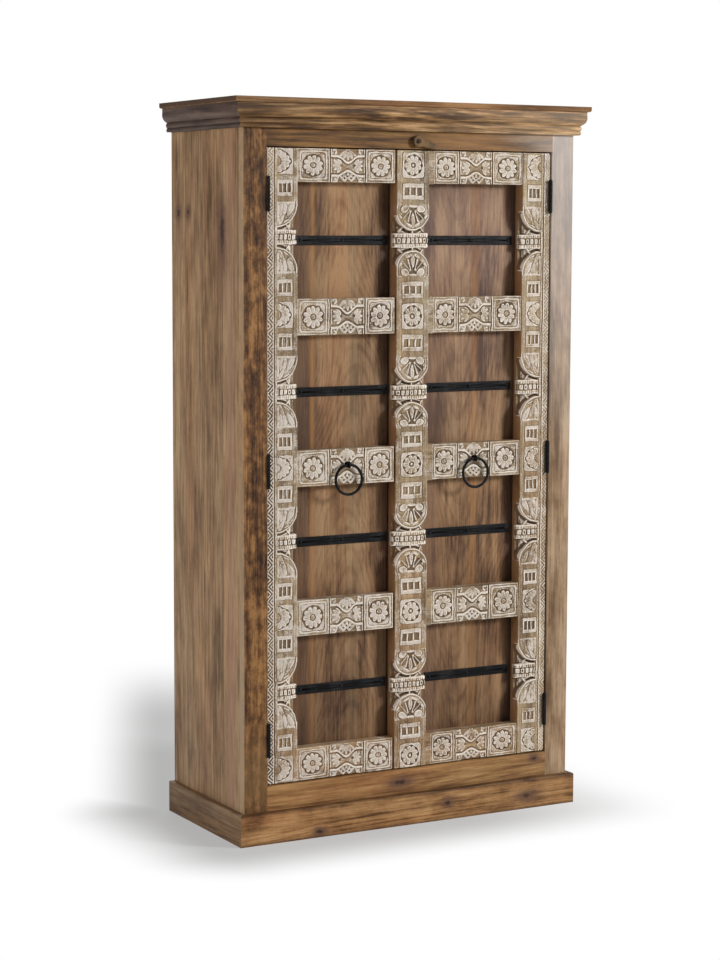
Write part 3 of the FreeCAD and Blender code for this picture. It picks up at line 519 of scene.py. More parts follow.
def stile_motifs(cut, x, z, half, drift):
    """Fans, necks, tablets and rosettes along one stile; x runs from the motifs' axis."""
    t = rosette_distance(z, drift)
    s = np.abs(t)
    whole = half == CENTRE_HALF
    middle = 0.0 if whole else SIDE_MOTIF / 2
    column = (ROSETTE_HALF if whole else middle) + 1.5
    gouges = grain(x, z, 5.0, 24)
    cut.lay(band(x - middle, column), 0.9 + 0.3 * gouges, 0.1 + 0.2 * gouges)
    necks_and_fans(cut, x, z, s, half, whole)
    if whole:
        tablet(cut, x, s - TABLET_OFFSET, ROSETTE_HALF - 1, 24.0, 9.5, 2.4, z)
        rosette(cut, x, t, ROSETTE_HALF, z)
    else:
        tablet(cut, x - middle + 1, s - TABLET_OFFSET, middle - 1, 15.5, 11.0, 1.6, z)
        half_rosette(cut, x, t, SIDE_MOTIF, z)


def chevrons(cut, q, z, relief):
    """The zigzag strip along a side stile's outer edge; q is the distance from that edge."""
    fold = np.abs(np.mod(z, CHEVRON_PITCH) - CHEVRON_PITCH / 2)
    line = fold - q * CHEVRON_PITCH / 2 / STRIP_WIDTH
    saw = np.abs(np.mod(line / CHEVRON_SPACING, 1) - 0.5) * 2
    inside = band(q - STRIP_WIDTH / 2 + 0.8, 6.8, 1.0)
    faded = np.clip((z - FADE_START) / FADE_LENGTH, 0, 1)
    worn = np.clip(0.95 + 0.3 * grain(q, z, 55.0, 25) - faded, 0, 1)
    groove = inside * soft(saw - 0.5, 0.3) * worn * relief
    strip = soft(q - STRIP_WIDTH, 1.0)
    cut.lay(strip, 0.2, 0.9)
    cut.lay(strip * band(q - STRIP_WIDTH + 1.4, 1.2, 1.0), 0.0, 1.05)
    cut.lay(strip * groove, 2.2, -0.8)
    cut.lay(band(q - STRIP_WIDTH - 1.2, 1.0, 1.0), 2.4, -0.3)


def hinge_notches(cut, q, z):
    """The sunk seats of a side stile's hinges."""
    for height in HINGE_LEVELS:
        reach = HINGE_REACH - 6.0 * q / HINGE_NOTCH
        cut.lay(soft(q - HINGE_NOTCH, 0.8) * band(z - height, reach, 0.8), 4.0, 0.1)


# Meshes

def link(name, data):
    made = bpy.data.objects.new(name, data)
    bpy.context.scene.collection.objects.link(made)
    return made


def grid(x_ends, z_ends, pitch):
    """Places over a face, about one pitch apart."""
    return np.meshgrid(*[np.linspace(low, high, int(round((high - low) / pitch)) + 1)
                         for low, high in (sorted(x_ends), z_ends)])


def blurred(field, cells):
    """A box blur that keeps the border."""
    window = 2 * cells + 1
    for axis in (0, 1):
        pad = [(0, 0), (0, 0)]
        pad[axis] = (cells + 1, cells)
        total = np.cumsum(np.pad(field, pad, mode="edge"), axis=axis)
        size = field.shape[axis]
        upper = np.take(total, range(window, window + size), axis=axis)
        lower = np.take(total, range(0, size), axis=axis)
        field = (upper - lower) / window
    return field


def worn_depth(x, z, depth):
    """A carving's depth once wear has eased its crests and edges."""
    edge = np.minimum(x - x[:, :1], x[:, -1:] - x)
    edge = np.minimum(edge, np.minimum(z - z[:1], z[-1:] - z))
    depth = depth - WORN_SHARE * np.clip(depth, 0, WORN_DEPTH)
    depth = depth + EDGE_WEAR * (1 - np.clip(edge / EDGE_WEAR_REACH, 0, 1)) ** 2
    return depth + 0.24 * grain(x + 400, z, 2.4, 5) + 0.26 * grain(x + 400, z, 7.0, 6)


def closed_mesh(name, points, fields):
    """Rings of points joined into a closed mesh that carries the fields."""
    rows, count = points.shape[:2]
    index = np.arange(rows * count).reshape(rows, count)
    turned = np.roll(index, -1, axis=1)
    quads = np.stack([index[:-1], turned[:-1], turned[1:], index[1:]], -1).reshape(-1, 4)
    corners = np.concatenate([quads.ravel(), index[0, ::-1], index[-1]])
    starts = np.concatenate([np.arange(len(quads)) * 4, len(quads) * 4 + np.array([0, count])])
    mesh = bpy.data.meshes.new(name)
    mesh.vertices.add(rows * count)
    mesh.vertices.foreach_set("co", (points * MM).ravel())
    mesh.loops.add(len(corners))
    mesh.loops.foreach_set("vertex_index", corners.astype(np.int32))
    mesh.polygons.add(len(starts))
    mesh.polygons.foreach_set("loop_start", starts.astype(np.int32))
    mesh.update(calc_edges=True)
    mesh.polygons.foreach_set("use_smooth", np.ones(len(starts), bool))
    mesh.set_sharp_from_angle(angle=SHARP_ANGLE)
    for label, field in fields.items():
        layer = mesh.attributes.new(label, "FLOAT", "POINT")
        layer.data.foreach_set("value", field.astype(np.float32).ravel())
    return mesh


def carved_piece(name, x, z, face_y, cut, worn, chain, body, node, collars=0.0):
    """A piece with a carved front; chain gives x and y round its back, worn the wash that has
    gone, and collars is 1 at a collar's height."""
    rows, columns = x.shape
    depth = worn_depth(x, z, cut.depth)
    points = np.zeros((rows, columns + len(chain), 3))
    points[:, :columns] = np.stack([x, face_y + np.minimum(depth, NECK_FLOOR), z], -1)
    wash = np.full(points.shape[:2], BACK_WASH)
    wash[:, :columns] = cut.wash - worn
    for column in (0, columns - 1):
        wash[:, column] = np.minimum(wash[:, column], EDGE_WASH + 0.5 * collars)
    points[:, columns:, :2] = chain
    points[:, columns:, 2] = z[:, :1]
    for column, (_, place_y) in enumerate(chain, columns):
        if place_y == STEP_FRONT:
            wash[:, column] = BACK_WASH + 0.8 * collars
    # How far a place lies below its neighbours; from it the material paints dirt and shade into
    # hollows and a highlight onto crests
    hollow = np.zeros_like(wash)
    hollow[:, :columns] = depth - blurred(depth, 3)
    piece = link(name, closed_mesh(name, points, {"wash": wash, "hollow": hollow}))
    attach(piece, body)
    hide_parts(node)
    return piece


def bulge_at(z, drift):
    """How far a collar swells out over the stile's edge at each height."""
    s = np.abs(rosette_distance(z, drift))
    inside = (z > RAIL_LEVELS[0]) & (z < RAIL_LEVELS[-1])
    return COLLAR_BULGE * inside * soft(NECK_MIDDLE - COLLAR_HALF - s, 2.0)


def rabbeted(edge, shelf):
    """The way from a stile's edge over the panel's shelf to its back."""
    return [(edge, STEP_FRONT), (edge, PANEL_FRONT), (shelf, PANEL_FRONT), (shelf, DOOR_BACK)]


def side_stile(name, side, relief, drift, worn):
    """A hinge stile, with the zigzag strip at its outer edge."""
    x, z = grid((side * DOOR_HALF, side * STILE_EDGE), DOOR_ENDS, SIDE_PITCH)
    q = DOOR_HALF - np.abs(x)
    cut = Carving(x)
    led_q, led_z = hand_led(q, z, 31 + side)
    inward = led_q - MOTIF_INSET
    stile_motifs(cut, inward, led_z, DOOR_HALF - MOTIF_INSET - STILE_EDGE, drift)
    cut.lay(soft(inward + 0.4, 0.8), 0.0, PLAIN_WASH - 0.08)
    chevrons(cut, led_q, led_z, relief)
    hinge_notches(cut, q, z)
    bulge = bulge_at(z, drift)
    x = x - side * bulge * soft(DOOR_HALF - STILE_EDGE - q - 3.0, 6.0)
    chain = rabbeted(side * STILE_EDGE, side * (STILE_EDGE + PANEL_RABBET))
    chain.append((side * DOOR_HALF, DOOR_BACK))
    if side > 0:
        chain.reverse()
    return carved_piece(name + "_carved_stile", x, z, DOOR_FRONT, cut, worn, chain,
                        name + "_door", name + "_door_stile", bulge[:, 0] / COLLAR_BULGE)


def centre_stile(drift, worn):
    """The stile between the doors, which rides on the right one."""
    x, z = grid((-CENTRE_HALF, CENTRE_HALF), DOOR_ENDS, CENTRE_PITCH)
    cut = Carving(x)
    led_x, led_z = hand_led(x, z, 35)
    stile_motifs(cut, led_x, led_z, CENTRE_HALF, drift)
    bulge = bulge_at(z, drift)
    x = x + np.sign(x) * bulge * soft(CENTRE_HALF - np.abs(x) - 3.0, 6.0)
    chain = rabbeted(CENTRE_HALF, CENTRE_HALF - PANEL_RABBET)
    chain += [(-CENTRE_HALF, DOOR_BACK), (-CENTRE_HALF, STEP_FRONT)]
    return carved_piece("centre_carved_stile", x, z, DOOR_FRONT, cut, worn, chain,
                        "right_door", "centre_stile", bulge[:, 0] / COLLAR_BULGE)


def rail_motifs(cut, vine, across, up, near, seed):
    """A flower, a vine and a flower tile, from near the centre outwards."""
    inner, outer = VINE_MIDDLE - VINE_HALF, VINE_MIDDLE + VINE_HALF
    spans = ((near, inner - TILE_SEAM), (outer + TILE_SEAM, STILE_EDGE))
    for k, (start, end) in enumerate(spans):
        middle, half = (start + end) / 2, (end - start) / 2
        flower_tile(cut, across - middle, up, half, RAIL_HALF, seed + k)
    vine_tile(vine, across - VINE_MIDDLE, up, seed + 3)
    cut.lay(band(across - VINE_MIDDLE, VINE_HALF), vine.depth, vine.wash)
    for seam in (inner - TILE_SEAM / 2, outer + TILE_SEAM / 2):
        cut.lay(band(across - seam, SEAM_GROOVE, 1.6), 3.0, -0.3)


def carved_rail(name, side, step, worn):
    """One rail of a door; its carving is drawn out to the rail's height."""
    node = name + "_door_rail_" + str(step + 1)
    low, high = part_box(node)
    bottom, top = low.z / MM, high.z / MM
    near = LEFT_RAIL_END if side < 0 else RIGHT_RAIL_END
    x, z = grid((side * near, side * STILE_EDGE), (bottom, top), RAIL_PITCH)
    cut = Carving(x)
    seed = 40 * step + (0 if side < 0 else 7)
    stretch = 2 * RAIL_HALF / (top - bottom)
    across, up = hand_led(np.abs(x), (z - (bottom + top) / 2) * stretch, seed + 500)
    rail_motifs(cut, Carving(x), across, up, near, seed)
    if step == RING_RAIL:
        seat = disc(np.abs(x) - VINE_MIDDLE, z - PLATE_LEVEL, PLATE_RADIUS)
        cut.lay(seat, 0.0, 0.6)
    chain = [(x[0, -1], PANEL_FRONT), (x[0, 0], PANEL_FRONT)]
    return carved_piece(node + "_carved", x, z, RAIL_FRONT, cut, worn, chain,
                        name + "_door", node)


# Materials

def srgb(red, green, blue):
    """A colour picked on screen, 0 to 255, as the linear colour that shaders take."""
    shares = [value / 255 for value in (red, green, blue)]
    linear = [s / 12.92 if s <= 0.04045 else ((s + 0.055) / 1.055) ** 2.4 for s in shares]
    return (*linear, 1.0)


class Nodes:
    """A node tree; each call adds nodes and gives what they put out."""

    def __init__(self, owner):
        owner.use_nodes = True
        self.tree = owner.node_tree
        self.tree.nodes.clear()

    def node(self, kind, inputs=(), **settings):
        made = self.tree.nodes.new("ShaderNode" + kind)
        for key, value in settings.items():
            setattr(made, key, value)
        for key, value in dict(inputs).items():
            if isinstance(value, bpy.types.NodeSocket):
                self.tree.links.new(value, made.inputs[key])
            else:
                made.inputs[key].default_value = value
        return made.outputs

    def math(self, operation, first, second=0.0, third=0.0):
        return self.node("Math", {0: first, 1: second, 2: third}, operation=operation)[0]

    def times(self, first, second):
        return self.math("MULTIPLY", first, second)

    def blended(self, share, first, second):
        return self.node("MixShader", {0: share, 1: first, 2: second})[0]


class Shader(Nodes):
    """A material; its place is in metres, in the frame."""

    def __init__(self, name):
        self.material = bpy.data.materials.new(name)
        super().__init__(self.material)
        places = self.node("TexCoord")
        self.place = places["Object"]
        self.facing = places["Normal"]

    def vector(self, operation, first, second=(0, 0, 0), third=(0, 0, 0)):
        made = self.node("VectorMath", {0: first, 1: second, 2: third}, operation=operation)
        return made["Value" if operation == "LENGTH" else "Vector"]

    def parts(self, vector):
        return self.node("SeparateXYZ", {0: vector})

    def joined(self, x, y, z=0.0):
        return self.node("CombineXYZ", {0: x, 1: y, 2: z})[0]

    def scaled(self, vector, scale, shift=(0, 0, 0)):
        return self.node("Mapping", {"Vector": vector, "Scale": scale, "Location": shift})[0]

    def away(self, value, middle):
        """How far a value is from a middle."""
        return self.math("ABSOLUTE", self.math("SUBTRACT", value, middle))

    def swayed(self, value, noise, amount):
        """A value moved up and down by a noise that runs from 0 to 1."""
        return self.math("MULTIPLY_ADD", self.math("SUBTRACT", noise, 0.5), amount, value)

    def noise(self, vector, scale, detail=2.0, roughness=0.5):
        return self.node("TexNoise", {"Vector": vector, "Scale": scale, "Detail": detail,
                                      "Roughness": roughness})[0]

    def drawn(self, vector, along, share, *texture, shift=(0, 0, 0)):
        """Noise drawn out along one axis, as wood is."""
        stretch = [share if axis == along else 1.0 for axis in "XYZ"]
        return self.noise(self.scaled(vector, stretch, shift), *texture)

    def fit(self, value, low, high, out_low=0.0, out_high=1.0):
        """A value eased from one range to another."""
        ranges = {0: value, 1: low, 2: high, 3: out_low, 4: out_high}
        return self.node("MapRange", ranges, interpolation_type="SMOOTHSTEP")[0]

    def mix(self, share, first, second, blend="MIX"):
        return self.node("Mix", {0: share, 6: first, 7: second}, data_type="RGBA",
                         blend_type=blend)[2]

    def ramp(self, value, stops):
        colour = self.node("ValToRGB", {0: value})[0]
        elements = colour.node.color_ramp.elements
        while len(elements) < len(stops):
            elements.new(0.5)
        for element, (position, tone) in zip(elements, stops):
            element.position = position
            element.color = tone
        return colour

    def attribute(self, name):
        return self.node("Attribute", attribute_name=name)["Fac"]

    def bump(self, height, distance, strength):
        return self.node("Bump", {"Height": height, "Distance": distance,
                                  "Strength": strength})[0]

    def finish(self, colour, roughness, normal, sheen, metallic=0.0):
        surface = self.node("BsdfPrincipled", {
            "Base Color": colour, "Roughness": roughness, "Normal": normal,
            "Metallic": metallic, "Specular IOR Level": sheen})
        self.node("OutputMaterial", {0: surface[0]})
        return self.material


# Colours that the woods and irons share
# Near white for a painted highlight on the carving's crests
CREST_HIGHLIGHT = srgb(246, 236, 222)
WALL_TONE = srgb(140, 98, 62)
LIME = srgb(214, 203, 191)
# Dark brown for dirt and painted shade in the carving's grooves and hollows
DIRT_AND_SHADE = srgb(82, 64, 50)
KNOT_HEART = srgb(44, 28, 22)
KNOT_HALO = srgb(96, 68, 54)
REDDER = (1.12, 0.94, 0.84, 1.0)
GREYER = (0.92, 1.0, 1.12, 1.0)
WOOD_SHEEN = 0.2
IRON_SHEEN = 0.14

# Noises of the wood: the stretch along a board, where smaller is longer, then the scale,
# detail and roughness
GRAIN = 0.07
BROAD = 0.12
CLOUD = 0.5
DRIFT_NOISE = (BROAD, 5.0)
RING_NOISE = (GRAIN, 8.0, 1.0, 0.4)
BROAD_NOISE = (BROAD, 19.0, 4.0, 0.6)
FIBRE_NOISE = (0.02, 330.0, 4.0, 0.65)
STRAND_NOISE = (GRAIN, 90.0, 3.0, 0.6)
PORE_NOISE = (GRAIN, 900.0, 2.0, 0.6)
HUE_NOISE = (BROAD, 9.0)
RING_COUNT = 120.0
BEND = (0.05, 0.05, 0.05)
HUE_DRIFT = (0.7, 0.3, 0.9)
SEAM_REACH = 0.0012
SEAM_HALF = 0.0003
BOARD_JUMP = (1.7, 2.9, 1.1)
LIME_SHARE = 0.92
WELD_REACH = 0.00001
EASED_ANGLE = math.radians(40)


def end_grain(shader, axes):
    """1 on faces across the named axes and 0 on the others."""
    facing = shader.parts(shader.facing)
    across = 0.0
    for axis in axes:
        across = shader.math("MAXIMUM", across, shader.math("ABSOLUTE", facing[axis]))
    return shader.fit(across, 0.6, 0.9)


def arched(shader, place, flame):
    """Nested arches of grain up a board, round an axis at one x."""
    axis_x, spread, rise = flame
    parts = shader.parts(shader.place)
    lean = shader.noise(shader.scaled(place, (0.0, 0.0, 1.0)), 1.7)
    away = shader.math("SUBTRACT", parts["X"], axis_x)
    away = shader.swayed(away, lean, 0.22)
    bowl = shader.times(shader.times(away, away), spread)
    return shader.math("MULTIPLY_ADD", parts["Z"], rise, bowl)


def board_place(shader, boards, seed):
    """Places that jump from board to board, and the board's number."""
    place = shader.scaled(shader.place, (1, 1, 1), (seed * 1.37, seed * 0.71, seed * 2.13))
    if not boards:
        return place, None
    axis, seams = boards
    value = shader.parts(shader.place)[axis]
    number = 0.0
    for seam in seams:
        number = shader.math("ADD", shader.math("GREATER_THAN", value, seam), number)
    jump = shader.joined(*[shader.times(number, share) for share in BOARD_JUMP])
    return shader.vector("ADD", place, jump), number


def knot_field(shader, knots):
    """Nearness to the knots: 1 at a knot's middle."""
    total = None
    for centre, radii in knots:
        offset = shader.vector("SUBTRACT", shader.place, centre)
        length = shader.vector("LENGTH", shader.vector("DIVIDE", offset, radii))
        near = shader.math("DIVIDE", 1.0, shader.math("MULTIPLY_ADD", length, length, 1.0))
        total = near if total is None else shader.math("MAXIMUM", total, near)
    ragged = shader.math("SUBTRACT", shader.noise(shader.place, 70.0, 4.0, 0.65), 0.5)
    return shader.times(total, shader.math("MULTIPLY_ADD", ragged, 1.2, 1.0))


def knotted(shader, colour, near):
    """Knots over a colour: a brown halo and a dark heart."""
    colour = shader.mix(shader.fit(near, 0.02, 0.6, 0.0, 0.8), colour, KNOT_HALO)
    return shader.mix(shader.fit(near, 0.62, 0.95, 0.0, 0.85), colour, KNOT_HEART)


def seamed(shader, colour, boards, dark):
    """Thin dark lines between glued boards, over a colour."""
    axis, seams = boards
    value = shader.parts(shader.place)[axis]
    gap = None
    for seam in seams:
        away = shader.away(value, seam)
        gap = away if gap is None else shader.math("MINIMUM", gap, away)
    return shader.mix(shader.fit(gap, SEAM_REACH, SEAM_HALF, 0.0, 0.5), colour, dark)


def ring_lines(shader, along, place, bent, knots, flame):
    """The lines of the yearly rings, and the nearness to the knots that push them aside."""
    rings = shader.drawn(bent, along, *RING_NOISE)
    if flame is not None:
        rings = shader.math("MULTIPLY_ADD", rings, 0.35, arched(shader, place, flame))
    near = knot_field(shader, knots) if knots else None
    if knots:
        rings = shader.math("MULTIPLY_ADD", near, 0.05, rings)
    wave = shader.math("SINE", shader.times(rings, RING_COUNT))
    return shader.fit(wave, 0.1, 1.0), near


def wood_layers(shader, along, tones, boards=None, knots=(), seed=0, figure=0.2, cloudy=0.9,
                streaky=1.2, flame=None, blotch=11.0, tint=0.8, stranded=0.8):
    """Colour, fibre, pores and broad streaks of a board; tones run from dark to light."""
    place, number = board_place(shader, boards, seed)
    drift = shader.drawn(place, along, *DRIFT_NOISE)
    bent = shader.vector("MULTIPLY_ADD", shader.joined(drift, drift, drift), BEND, place)
    line, near = ring_lines(shader, along, place, bent, knots, flame)
    broad = shader.drawn(place, along, *BROAD_NOISE)
    line = shader.times(line, shader.fit(broad, 0.32, 0.66, 0.25, 1.0))
    cloud = shader.drawn(bent, along, CLOUD, blotch, 7.0, 0.68)
    fibre = shader.drawn(bent, along, *FIBRE_NOISE)
    strand = shader.drawn(bent, along, *STRAND_NOISE)
    pores = shader.drawn(place, along, *PORE_NOISE)
    tone = 0.5
    for noise, amount in ((broad, streaky), (fibre, 0.85), (strand, stranded), (cloud, cloudy)):
        tone = shader.swayed(tone, noise, amount)
    tone = shader.math("MULTIPLY_ADD", line, -figure, tone)
    if number is not None:
        shade = shader.math("SINE", shader.math("MULTIPLY_ADD", number, 2.4, 0.6 + seed))
        tone = shader.math("MULTIPLY_ADD", shade, 0.1, tone)
    dark, middle, light = tones
    colour = shader.ramp(tone, [(0.12, dark), (0.48, middle), (0.86, light)])
    hue = shader.drawn(place, along, *HUE_NOISE, shift=HUE_DRIFT)
    for low, high, cast in ((0.5, 0.7, REDDER), (0.48, 0.3, GREYER)):
        colour = shader.mix(shader.fit(hue, low, high, 0.0, tint), colour, cast, "MULTIPLY")
    pore = shader.fit(pores, 0.6, 0.7)
    colour = shader.mix(shader.times(pore, 0.45), colour, dark)
    if knots:
        colour = knotted(shader, colour, near)
    if boards:
        colour = seamed(shader, colour, boards, dark)
    return colour, fibre, pore, broad


def wood(name, along, tones, roughness=0.55, bleach_and_light=None, ends=None, stains_and_painted_light=(), **layers):
    """A board; a lift along an axis is a bleach, and painted light on the right frame stile; ends
    tint its end grain;
    and tints near places along an axis are stains, with painted shade on the panels and a painted
    highlight on the left stile."""
    shader = Shader(name)
    colour, fibre, pore, broad = wood_layers(shader, along, tones, **layers)
    parts = shader.parts(shader.place)
    # A lift along an axis: a bleach, and painted light on the right frame stile
    if bleach_and_light is not None:
        axis, low, high, tint = bleach_and_light
        ragged = shader.math("MULTIPLY_ADD", broad, 0.5, parts[axis])
        colour = shader.mix(shader.fit(ragged, low, high), colour, tint, "SCREEN")
    # Stains, and on the panels and left stile painted shade and a painted highlight, tint it near
    # places along an axis
    for axis, middle, reach, share, tint in stains_and_painted_light:
        ragged = shader.swayed(shader.away(parts[axis], middle), broad, reach)
        colour = shader.mix(shader.fit(ragged, reach, 0.0, 0.0, share), colour, tint)
    if ends is not None:
        axes, tint = ends
        share = shader.times(end_grain(shader, axes), 0.85)
        speck = shader.mix(fibre, tint, colour, "MULTIPLY")
        colour = shader.mix(share, colour, shader.mix(0.7, speck, tint))
    relief = shader.math("MULTIPLY_ADD", pore, -0.6, fibre)
    normal = shader.bump(relief, 0.0006, 0.55)
    gloss = shader.math("MULTIPLY_ADD", broad, 0.22, roughness - 0.1)
    return shader.finish(colour, gloss, normal, WOOD_SHEEN)


def carved_wood(along, seed):
    """Carved wood with whitewash rubbed into it and worn off in patches, dirt and painted shade
    in its grooves and hollows, and a painted highlight on its crests.
    """
    shader = Shader("carved_wood_" + along.lower())
    colour, fibre, _, _ = wood_layers(shader, along, CARVED_TONES, seed=seed, figure=0.15)
    wash = shader.attribute("wash")
    bare = shader.fit(wash, 0.85, 0.6)
    wall = shader.times(end_grain(shader, "X"), bare)
    hollow = shader.attribute("hollow")
    patch = shader.noise(shader.place, 30.0, 5.0, 0.7)
    grit = shader.noise(shader.place, 260.0, 3.0, 0.7)
    # Wash below zero, which the carving gives its grooves, pits and slits, darkens to dirt and
    # painted shade
    soil_and_shade = shader.fit(wash, 0.0, -1.0, 0.0, 0.9)
    for noise, amount in ((patch, 3.2), (grit, 2.0), (fibre, 1.0)):
        wash = shader.swayed(wash, noise, amount)
    cover = shader.fit(wash, 0.0, 1.05, 0.0, LIME_SHARE)
    colour = shader.mix(cover, colour, LIME)
    colour = shader.mix(shader.times(wall, 0.85), colour, WALL_TONE)
    colour = shader.mix(soil_and_shade, colour, DIRT_AND_SHADE)
    # Darker where the surface lies below its neighbours: dirt and painted shade in the hollows
    colour = shader.mix(shader.fit(hollow, 0.2, 1.6, 0.0, 0.45), colour, DIRT_AND_SHADE)
    # Lighter where the surface stands above its neighbours: a painted highlight on the crests
    colour = shader.mix(shader.fit(hollow, -0.2, -0.9, 0.0, 0.75), colour, CREST_HIGHLIGHT)
    relief = shader.math("MULTIPLY_ADD", grit, 0.8, fibre)
    normal = shader.bump(relief, 0.0008, 0.7)
    gloss = shader.fit(cover, 0.0, 1.0, 0.55, 0.85)
    return shader.finish(colour, gloss, normal, WOOD_SHEEN)


def iron(name, base, worn, roughness, metallic):
    """Forged iron with shallow hammer marks."""
    shader = Shader(name)
    marks = shader.noise(shader.place, 90.0)
    grit = shader.noise(shader.place, 520.0, 3.0, 0.6)
    patch = shader.noise(shader.place, 24.0, 4.0, 0.65)
    colour = shader.mix(shader.fit(patch, 0.45, 0.7), base, worn)
    colour = shader.mix(shader.fit(grit, 0.55, 0.75, 0.0, 0.4), colour, worn)
    height = shader.math("MULTIPLY_ADD", grit, 0.15, marks)
    normal = shader.bump(height, 0.0016, 0.5)
    gloss = shader.math("MULTIPLY_ADD", patch, 0.3, roughness - 0.15)
    return shader.finish(colour, gloss, normal, IRON_SHEEN, metallic)


def dress(material, *nodes):
    for node in nodes:
        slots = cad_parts[node].data.materials
        slots.clear()
        slots.append(material)


def soften(width, *nodes):
    """Ease the sharp edges of CAD boards without touching their meshes."""
    for node in nodes:
        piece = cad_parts[node]
        piece.modifiers.new("weld", "WELD").merge_threshold = WELD_REACH
        bevel = piece.modifiers.new("ease", "BEVEL")
        bevel.width = width
        bevel.segments = 2
        bevel.limit_method = "ANGLE"
        bevel.angle_limit = EASED_ANGLE
        bevel.use_clamp_overlap = True
        bevel.harden_normals = False


# The woods and irons of the photograph

def tones(*picked):
    """Dark, middle and light colours of a wood."""
    return [srgb(*colour) for colour in picked]


SIDE_TONES = tones((84, 60, 38), (137, 107, 77), (172, 142, 107))
LEFT_STILE_TONES = tones((46, 23, 8), (101, 67, 36), (158, 114, 68))
RIGHT_STILE_TONES = tones((100, 74, 50), (142, 114, 84), (174, 146, 116))
TOP_RAIL_TONES = tones((58, 38, 18), (104, 74, 38), (142, 106, 58))
BOTTOM_RAIL_TONES = tones((90, 58, 30), (146, 108, 66), (184, 146, 98))
CORNICE_TONES = tones((66, 44, 26), (138, 102, 62), (202, 160, 112))
CORNICE_TOP_TONES = tones((76, 54, 36), (124, 94, 64), (158, 126, 90))
CORNICE_SIDE_TONES = tones((50, 36, 29), (84, 66, 56), (112, 92, 78))
PLINTH_TONES = tones((84, 54, 28), (154, 113, 70), (188, 147, 100))
PLINTH_SIDE_TONES = tones((70, 48, 32), (118, 90, 62), (148, 120, 90))
PANEL_TONES = tones((78, 52, 34), (136, 102, 70), (166, 132, 96))
INNER_TONES = tones((112, 86, 60), (168, 138, 104), (198, 172, 138))
CARVED_TONES = tones((88, 66, 44), (148, 125, 94), (180, 158, 124))
# Lifts the right frame stile towards its top: painted light
PALE_PAINTED_LIGHT = srgb(150, 149, 148)
HAZE = srgb(44, 48, 60)
SUNNED = srgb(104, 92, 76)
FADED = srgb(140, 130, 122)
# Deep dark brown: a stain on the plinth, and painted shadow and shade on the panels
DEEP_STAIN_AND_SHADE = srgb(46, 28, 20)
# Painted shade at the right panel's left end
PLUM_PANEL_SHADE = srgb(104, 80, 70)
# Painted shade at the left panel's left end and the right panel's top
PAINTED_PANEL_SHADE = srgb(84, 62, 46)
PINK_STAIN = srgb(150, 113, 94)
CORNER_STAIN = srgb(76, 52, 30)
ORANGE_STREAK = srgb(172, 120, 66)
OLIVE_STREAK = srgb(132, 116, 88)
OLIVE_FOOT = srgb(140, 108, 68)
GOLDEN_MIDDLE = srgb(146, 106, 64)
# A light line down the left stile's outer corner: wear and a painted highlight
WORN_EDGE_HIGHLIGHT = srgb(186, 160, 128)
DARK_ENDS = srgb(74, 56, 46)

# Glued boards: the axis across them and their seams
SIDE_SEAMS = ("Y", (-0.075, 0.036, 0.138))
BACK_SEAMS = ("X", tuple(0.1115 * k for k in (-3, -2, -1, 0, 1, 2, 3)))

# Knots: the middle and the reach along each axis
SIDE_KNOTS = (((-0.468, 0.178, 1.529), (1.0, 0.014, 0.017)),
              ((-0.468, 0.121, 1.531), (1.0, 0.012, 0.014)),
              ((-0.468, -0.072, 1.483), (1.0, 0.018, 0.07)))
PLINTH_KNOTS = (((-0.268, -0.201, 0.014), (0.016, 1.0, 0.009)),
                ((0.10, -0.201, 0.044), (0.012, 1.0, 0.010)),
                ((0.34, -0.201, 0.034), (0.026, 1.0, 0.011)))
RAIL_KNOTS = (((-0.03, -0.185, 0.108), (0.030, 1.0, 0.010)),
              ((0.37, -0.185, 0.126), (0.014, 1.0, 0.008)))

# Arched grain: its axis in x, how fast it spreads and how steeply it rises
LEFT_FLAME = (-0.17, 30.0, 0.9)
RIGHT_FLAME = (0.16, 24.0, -0.8)

# Stains, with painted shade on the panels and a painted highlight on the left stile: the axis,
# the middle on it, the reach, the share and the colour
SIDE_STAINS = (("Y", -0.115, 0.035, 0.45, PINK_STAIN),)
LEFT_STILE_STAINS_AND_HIGHLIGHT = (("Z", 0.17, 0.16, 0.45, OLIVE_FOOT), ("X", -0.47, 0.006, 0.7, WORN_EDGE_HIGHLIGHT))
CORNICE_STAINS = (("X", -0.5, 0.4, 0.6, CORNER_STAIN),)
TOP_RAIL_STAINS = (("X", 0.13, 0.2, 0.5, GOLDEN_MIDDLE),)
PLINTH_STAINS = (("X", -0.5, 0.016, 0.7, DEEP_STAIN_AND_SHADE), ("Z", 0.078, 0.008, 0.5, DEEP_STAIN_AND_SHADE),
                 ("Z", 0.0, 0.01, 0.6, DEEP_STAIN_AND_SHADE))
# Left panel: a painted shadow at its right end, painted shade at its left end and foot; the
# orange and olive streaks are the wood's own
LEFT_PANEL_STAINS_AND_SHADE = (("X", -0.05, 0.05, 0.75, DEEP_STAIN_AND_SHADE), ("X", -0.29, 0.08, 0.65, PAINTED_PANEL_SHADE),
                     ("X", -0.262, 0.010, 0.6, ORANGE_STREAK),
                     ("X", -0.15, 0.02, 0.3, OLIVE_STREAK), ("Z", 0.1, 0.7, 0.42, DEEP_STAIN_AND_SHADE))
# Right panel: a painted shadow at its right end, painted shade at its left end, foot and top; the
# orange streak is the wood's own
RIGHT_PANEL_STAINS_AND_SHADE = (("X", 0.32, 0.05, 0.75, DEEP_STAIN_AND_SHADE), ("X", 0.05, 0.08, 0.5, PLUM_PANEL_SHADE),
                      ("X", 0.2, 0.016, 0.35, ORANGE_STREAK), ("Z", 0.1, 0.8, 0.36, DEEP_STAIN_AND_SHADE),
                      ("Z", 1.62, 0.13, 0.4, PAINTED_PANEL_SHADE))

SIDE_LOOK = {"figure": 0.06, "cloudy": 1.2, "streaky": 0.8, "blotch": 9.0, "tint": 0.5,
             "stranded": 1.0}
PANEL_LOOK = {"figure": 0.16, "cloudy": 1.9, "streaky": 1.6, "blotch": 7.0, "tint": 0.6}


